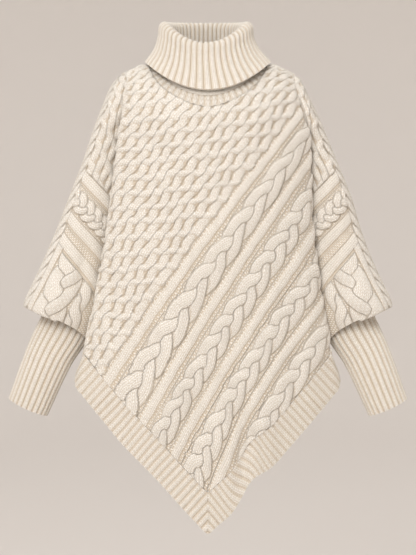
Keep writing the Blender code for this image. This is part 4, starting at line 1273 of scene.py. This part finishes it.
class KNITWEAR_OT_front(bpy.types.Operator):
    """Knit the front, with its trellis and cables running up to the right"""
    bl_idname = "knitwear.front"
    bl_label = "Knit front"

    def execute(self, context):
        piece = body_panel(context, "knit_front", FRONT)
        dress(piece, wool_for(context, "cable_wool"))
        return {"FINISHED"}


class KNITWEAR_OT_back(bpy.types.Operator):
    """Knit the back, as the front"""
    bl_idname = "knitwear.back"
    bl_label = "Knit back"

    def execute(self, context):
        piece = body_panel(context, "knit_back", BACK)
        dress(piece, wool_for(context, "cable_wool"))
        return {"FINISHED"}


class KNITWEAR_OT_hem(bpy.types.Operator):
    """Knit the four ribbed bands of the hem"""
    bl_idname = "knitwear.hem"
    bl_label = "Knit hem bands"

    def execute(self, context):
        for side, word in BOTH_SIDES:
            front = hem_band(context, "knit_hem_front_" + word, side, FRONT)
            dress(front, wool_for(context, "rib_wool"))
            back = hem_band(context, "knit_hem_back_" + word, side, BACK)
            dress(back, wool_for(context, "rib_wool"))
        return {"FINISHED"}


class KNITWEAR_OT_sleeves(bpy.types.Operator):
    """Knit both sleeves"""
    bl_idname = "knitwear.sleeves"
    bl_label = "Knit sleeves"

    def execute(self, context):
        for side, word in BOTH_SIDES:
            piece = sleeve(context, "knit_sleeve_" + word, side)
            dress(piece, wool_for(context, "cable_wool"))
        return {"FINISHED"}


class KNITWEAR_OT_cuffs(bpy.types.Operator):
    """Knit both ribbed cuffs"""
    bl_idname = "knitwear.cuffs"
    bl_label = "Knit cuffs"

    def execute(self, context):
        for side, word in BOTH_SIDES:
            piece = ribbed_tube(context, "knit_cuff_" + word, cuff_point(side), CUFF_RIBS, CUFF_ROWS,
                                CUFF_LENGTH, -side)
            dress(piece, wool_for(context, "rib_wool"))
        return {"FINISHED"}


class KNITWEAR_OT_collar(bpy.types.Operator):
    """Knit the turned-down turtleneck"""
    bl_idname = "knitwear.collar"
    bl_label = "Knit turtleneck"

    def execute(self, context):
        piece = ribbed_tube(context, "knit_collar", collar_point, COLLAR_RIBS, COLLAR_ROWS,
                            COLLAR_LENGTH, -1)
        dress(piece, wool_for(context, "rib_wool"))
        return {"FINISHED"}


# ---- studio ----

def studio_bowl(look):
    """A round floor that turns up into a wall all round."""
    bm = bmesh.new()
    inner = STUDIO_RADIUS - STUDIO_BEND
    profile = [(0.0, 0.0), (inner, 0.0)]
    profile += [(inner + STUDIO_BEND * math.sin(a), STUDIO_BEND * (1 - math.cos(a)))
                for a in (math.pi / 2 * i / 12 for i in range(1, 13))]
    profile.append((STUDIO_RADIUS, STUDIO_HEIGHT))
    verts = [bm.verts.new((x, 0.0, STUDIO_FLOOR + z)) for x, z in profile]
    edges = [bm.edges.new(pair) for pair in zip(verts, verts[1:])]
    bmesh.ops.spin(bm, geom=verts + edges, cent=(0, 0, 0), axis=(0, 0, 1), angle=TAU, steps=64,
                   use_merge=True)
    bmesh.ops.remove_doubles(bm, verts=bm.verts[:], dist=1e-5)
    mesh = bpy.data.meshes.new("studio_bowl")
    bm.to_mesh(mesh)
    bm.free()
    mesh.shade_smooth()
    graph = Graph("studio_paint")
    graph.surface.inputs["Roughness"].default_value = 1.0
    graph.surface.inputs["Specular IOR Level"].default_value = 0.0
    shade = graph.mix(graph.noise(0.35), (*look.backdrop, 1), (*[c * 0.96 for c in look.backdrop], 1))
    graph.links.new(shade, graph.surface.inputs["Base Color"])
    mesh.materials.append(graph.material)
    bowl = add_object("studio_bowl", mesh)


def key_light(look):
    """One large soft lamp, high on the viewer's left."""
    data = bpy.data.lights.new("key", "AREA")
    data.shape = "DISK"
    data.size = look.key_size
    data.energy = look.key_power
    data.color = (1.0, 0.98, 0.95)
    lamp = add_object("key", data)
    lamp.location = KEY_PLACE
    lamp.rotation_euler = (VIEW_MIDDLE - Vector(KEY_PLACE)).to_track_quat("-Z", "Y").to_euler()


class KNITWEAR_OT_stage(bpy.types.Operator):
    """Set up the floor, the light and the camera"""
    bl_idname = "knitwear.stage"
    bl_label = "Set up studio"

    def execute(self, context):
        look = context.scene.studio_look
        studio_bowl(look)
        world = bpy.data.worlds.new("studio_sky")
        world.use_nodes = True
        world.node_tree.nodes["Background"].inputs[0].default_value = (*look.sky, 1)
        world.node_tree.nodes["Background"].inputs[1].default_value = look.sky_strength
        context.scene.world = world
        context.scene.view_settings.view_transform = "Standard"
        key_light(look)
        data = bpy.data.cameras.new("camera")
        data.lens = data.sensor_width / 2 / (VIEW_HEIGHT / 2 / VIEW_DISTANCE)
        camera = add_object("camera", data)
        back = Vector((0, -math.cos(VIEW_ELEVATION), math.sin(VIEW_ELEVATION)))
        camera.location = VIEW_MIDDLE + back * VIEW_DISTANCE
        camera.rotation_euler = (-back).to_track_quat("-Z", "Y").to_euler()
        context.scene.camera = camera
        return {"FINISHED"}


class KNITWEAR_PT_sidebar(bpy.types.Panel):
    """Lists the sweater's sizes, wool and pieces"""
    bl_idname = "KNITWEAR_PT_sidebar"
    bl_label = "Poncho sweater"
    bl_space_type = "VIEW_3D"
    bl_region_type = "UI"
    bl_category = "Knitwear"

    def draw(self, context):
        for group in (context.scene.knit_sizes, context.scene.wool_look, context.scene.studio_look):
            box = self.layout.box()
            for name in group.__annotations__:
                box.prop(group, name)
        for made in OPERATORS:
            self.layout.operator(made.bl_idname)


GROUPS = (("knit_sizes", KnitSizes), ("wool_look", WoolLook), ("studio_look", StudioLook))
OPERATORS = (KNITWEAR_OT_front, KNITWEAR_OT_back, KNITWEAR_OT_hem, KNITWEAR_OT_sleeves,
             KNITWEAR_OT_cuffs, KNITWEAR_OT_collar, KNITWEAR_OT_stage)


def register():
    for name, group in GROUPS:
        bpy.utils.register_class(group)
        setattr(bpy.types.Scene, name, PointerProperty(type=group))
    for item in (*OPERATORS, KNITWEAR_PT_sidebar):
        bpy.utils.register_class(item)


def unregister():
    for item in reversed((*OPERATORS, KNITWEAR_PT_sidebar)):
        bpy.utils.unregister_class(item)
    for name, group in reversed(GROUPS):
        delattr(bpy.types.Scene, name)
        bpy.utils.unregister_class(group)


def main():
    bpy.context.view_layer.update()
    register()
    bpy.ops.knitwear.front()
    bpy.ops.knitwear.back()
    bpy.ops.knitwear.hem()
    bpy.ops.knitwear.sleeves()
    bpy.ops.knitwear.cuffs()
    bpy.ops.knitwear.collar()
    bpy.ops.knitwear.stage()


if __name__ == "__main__":
    main()
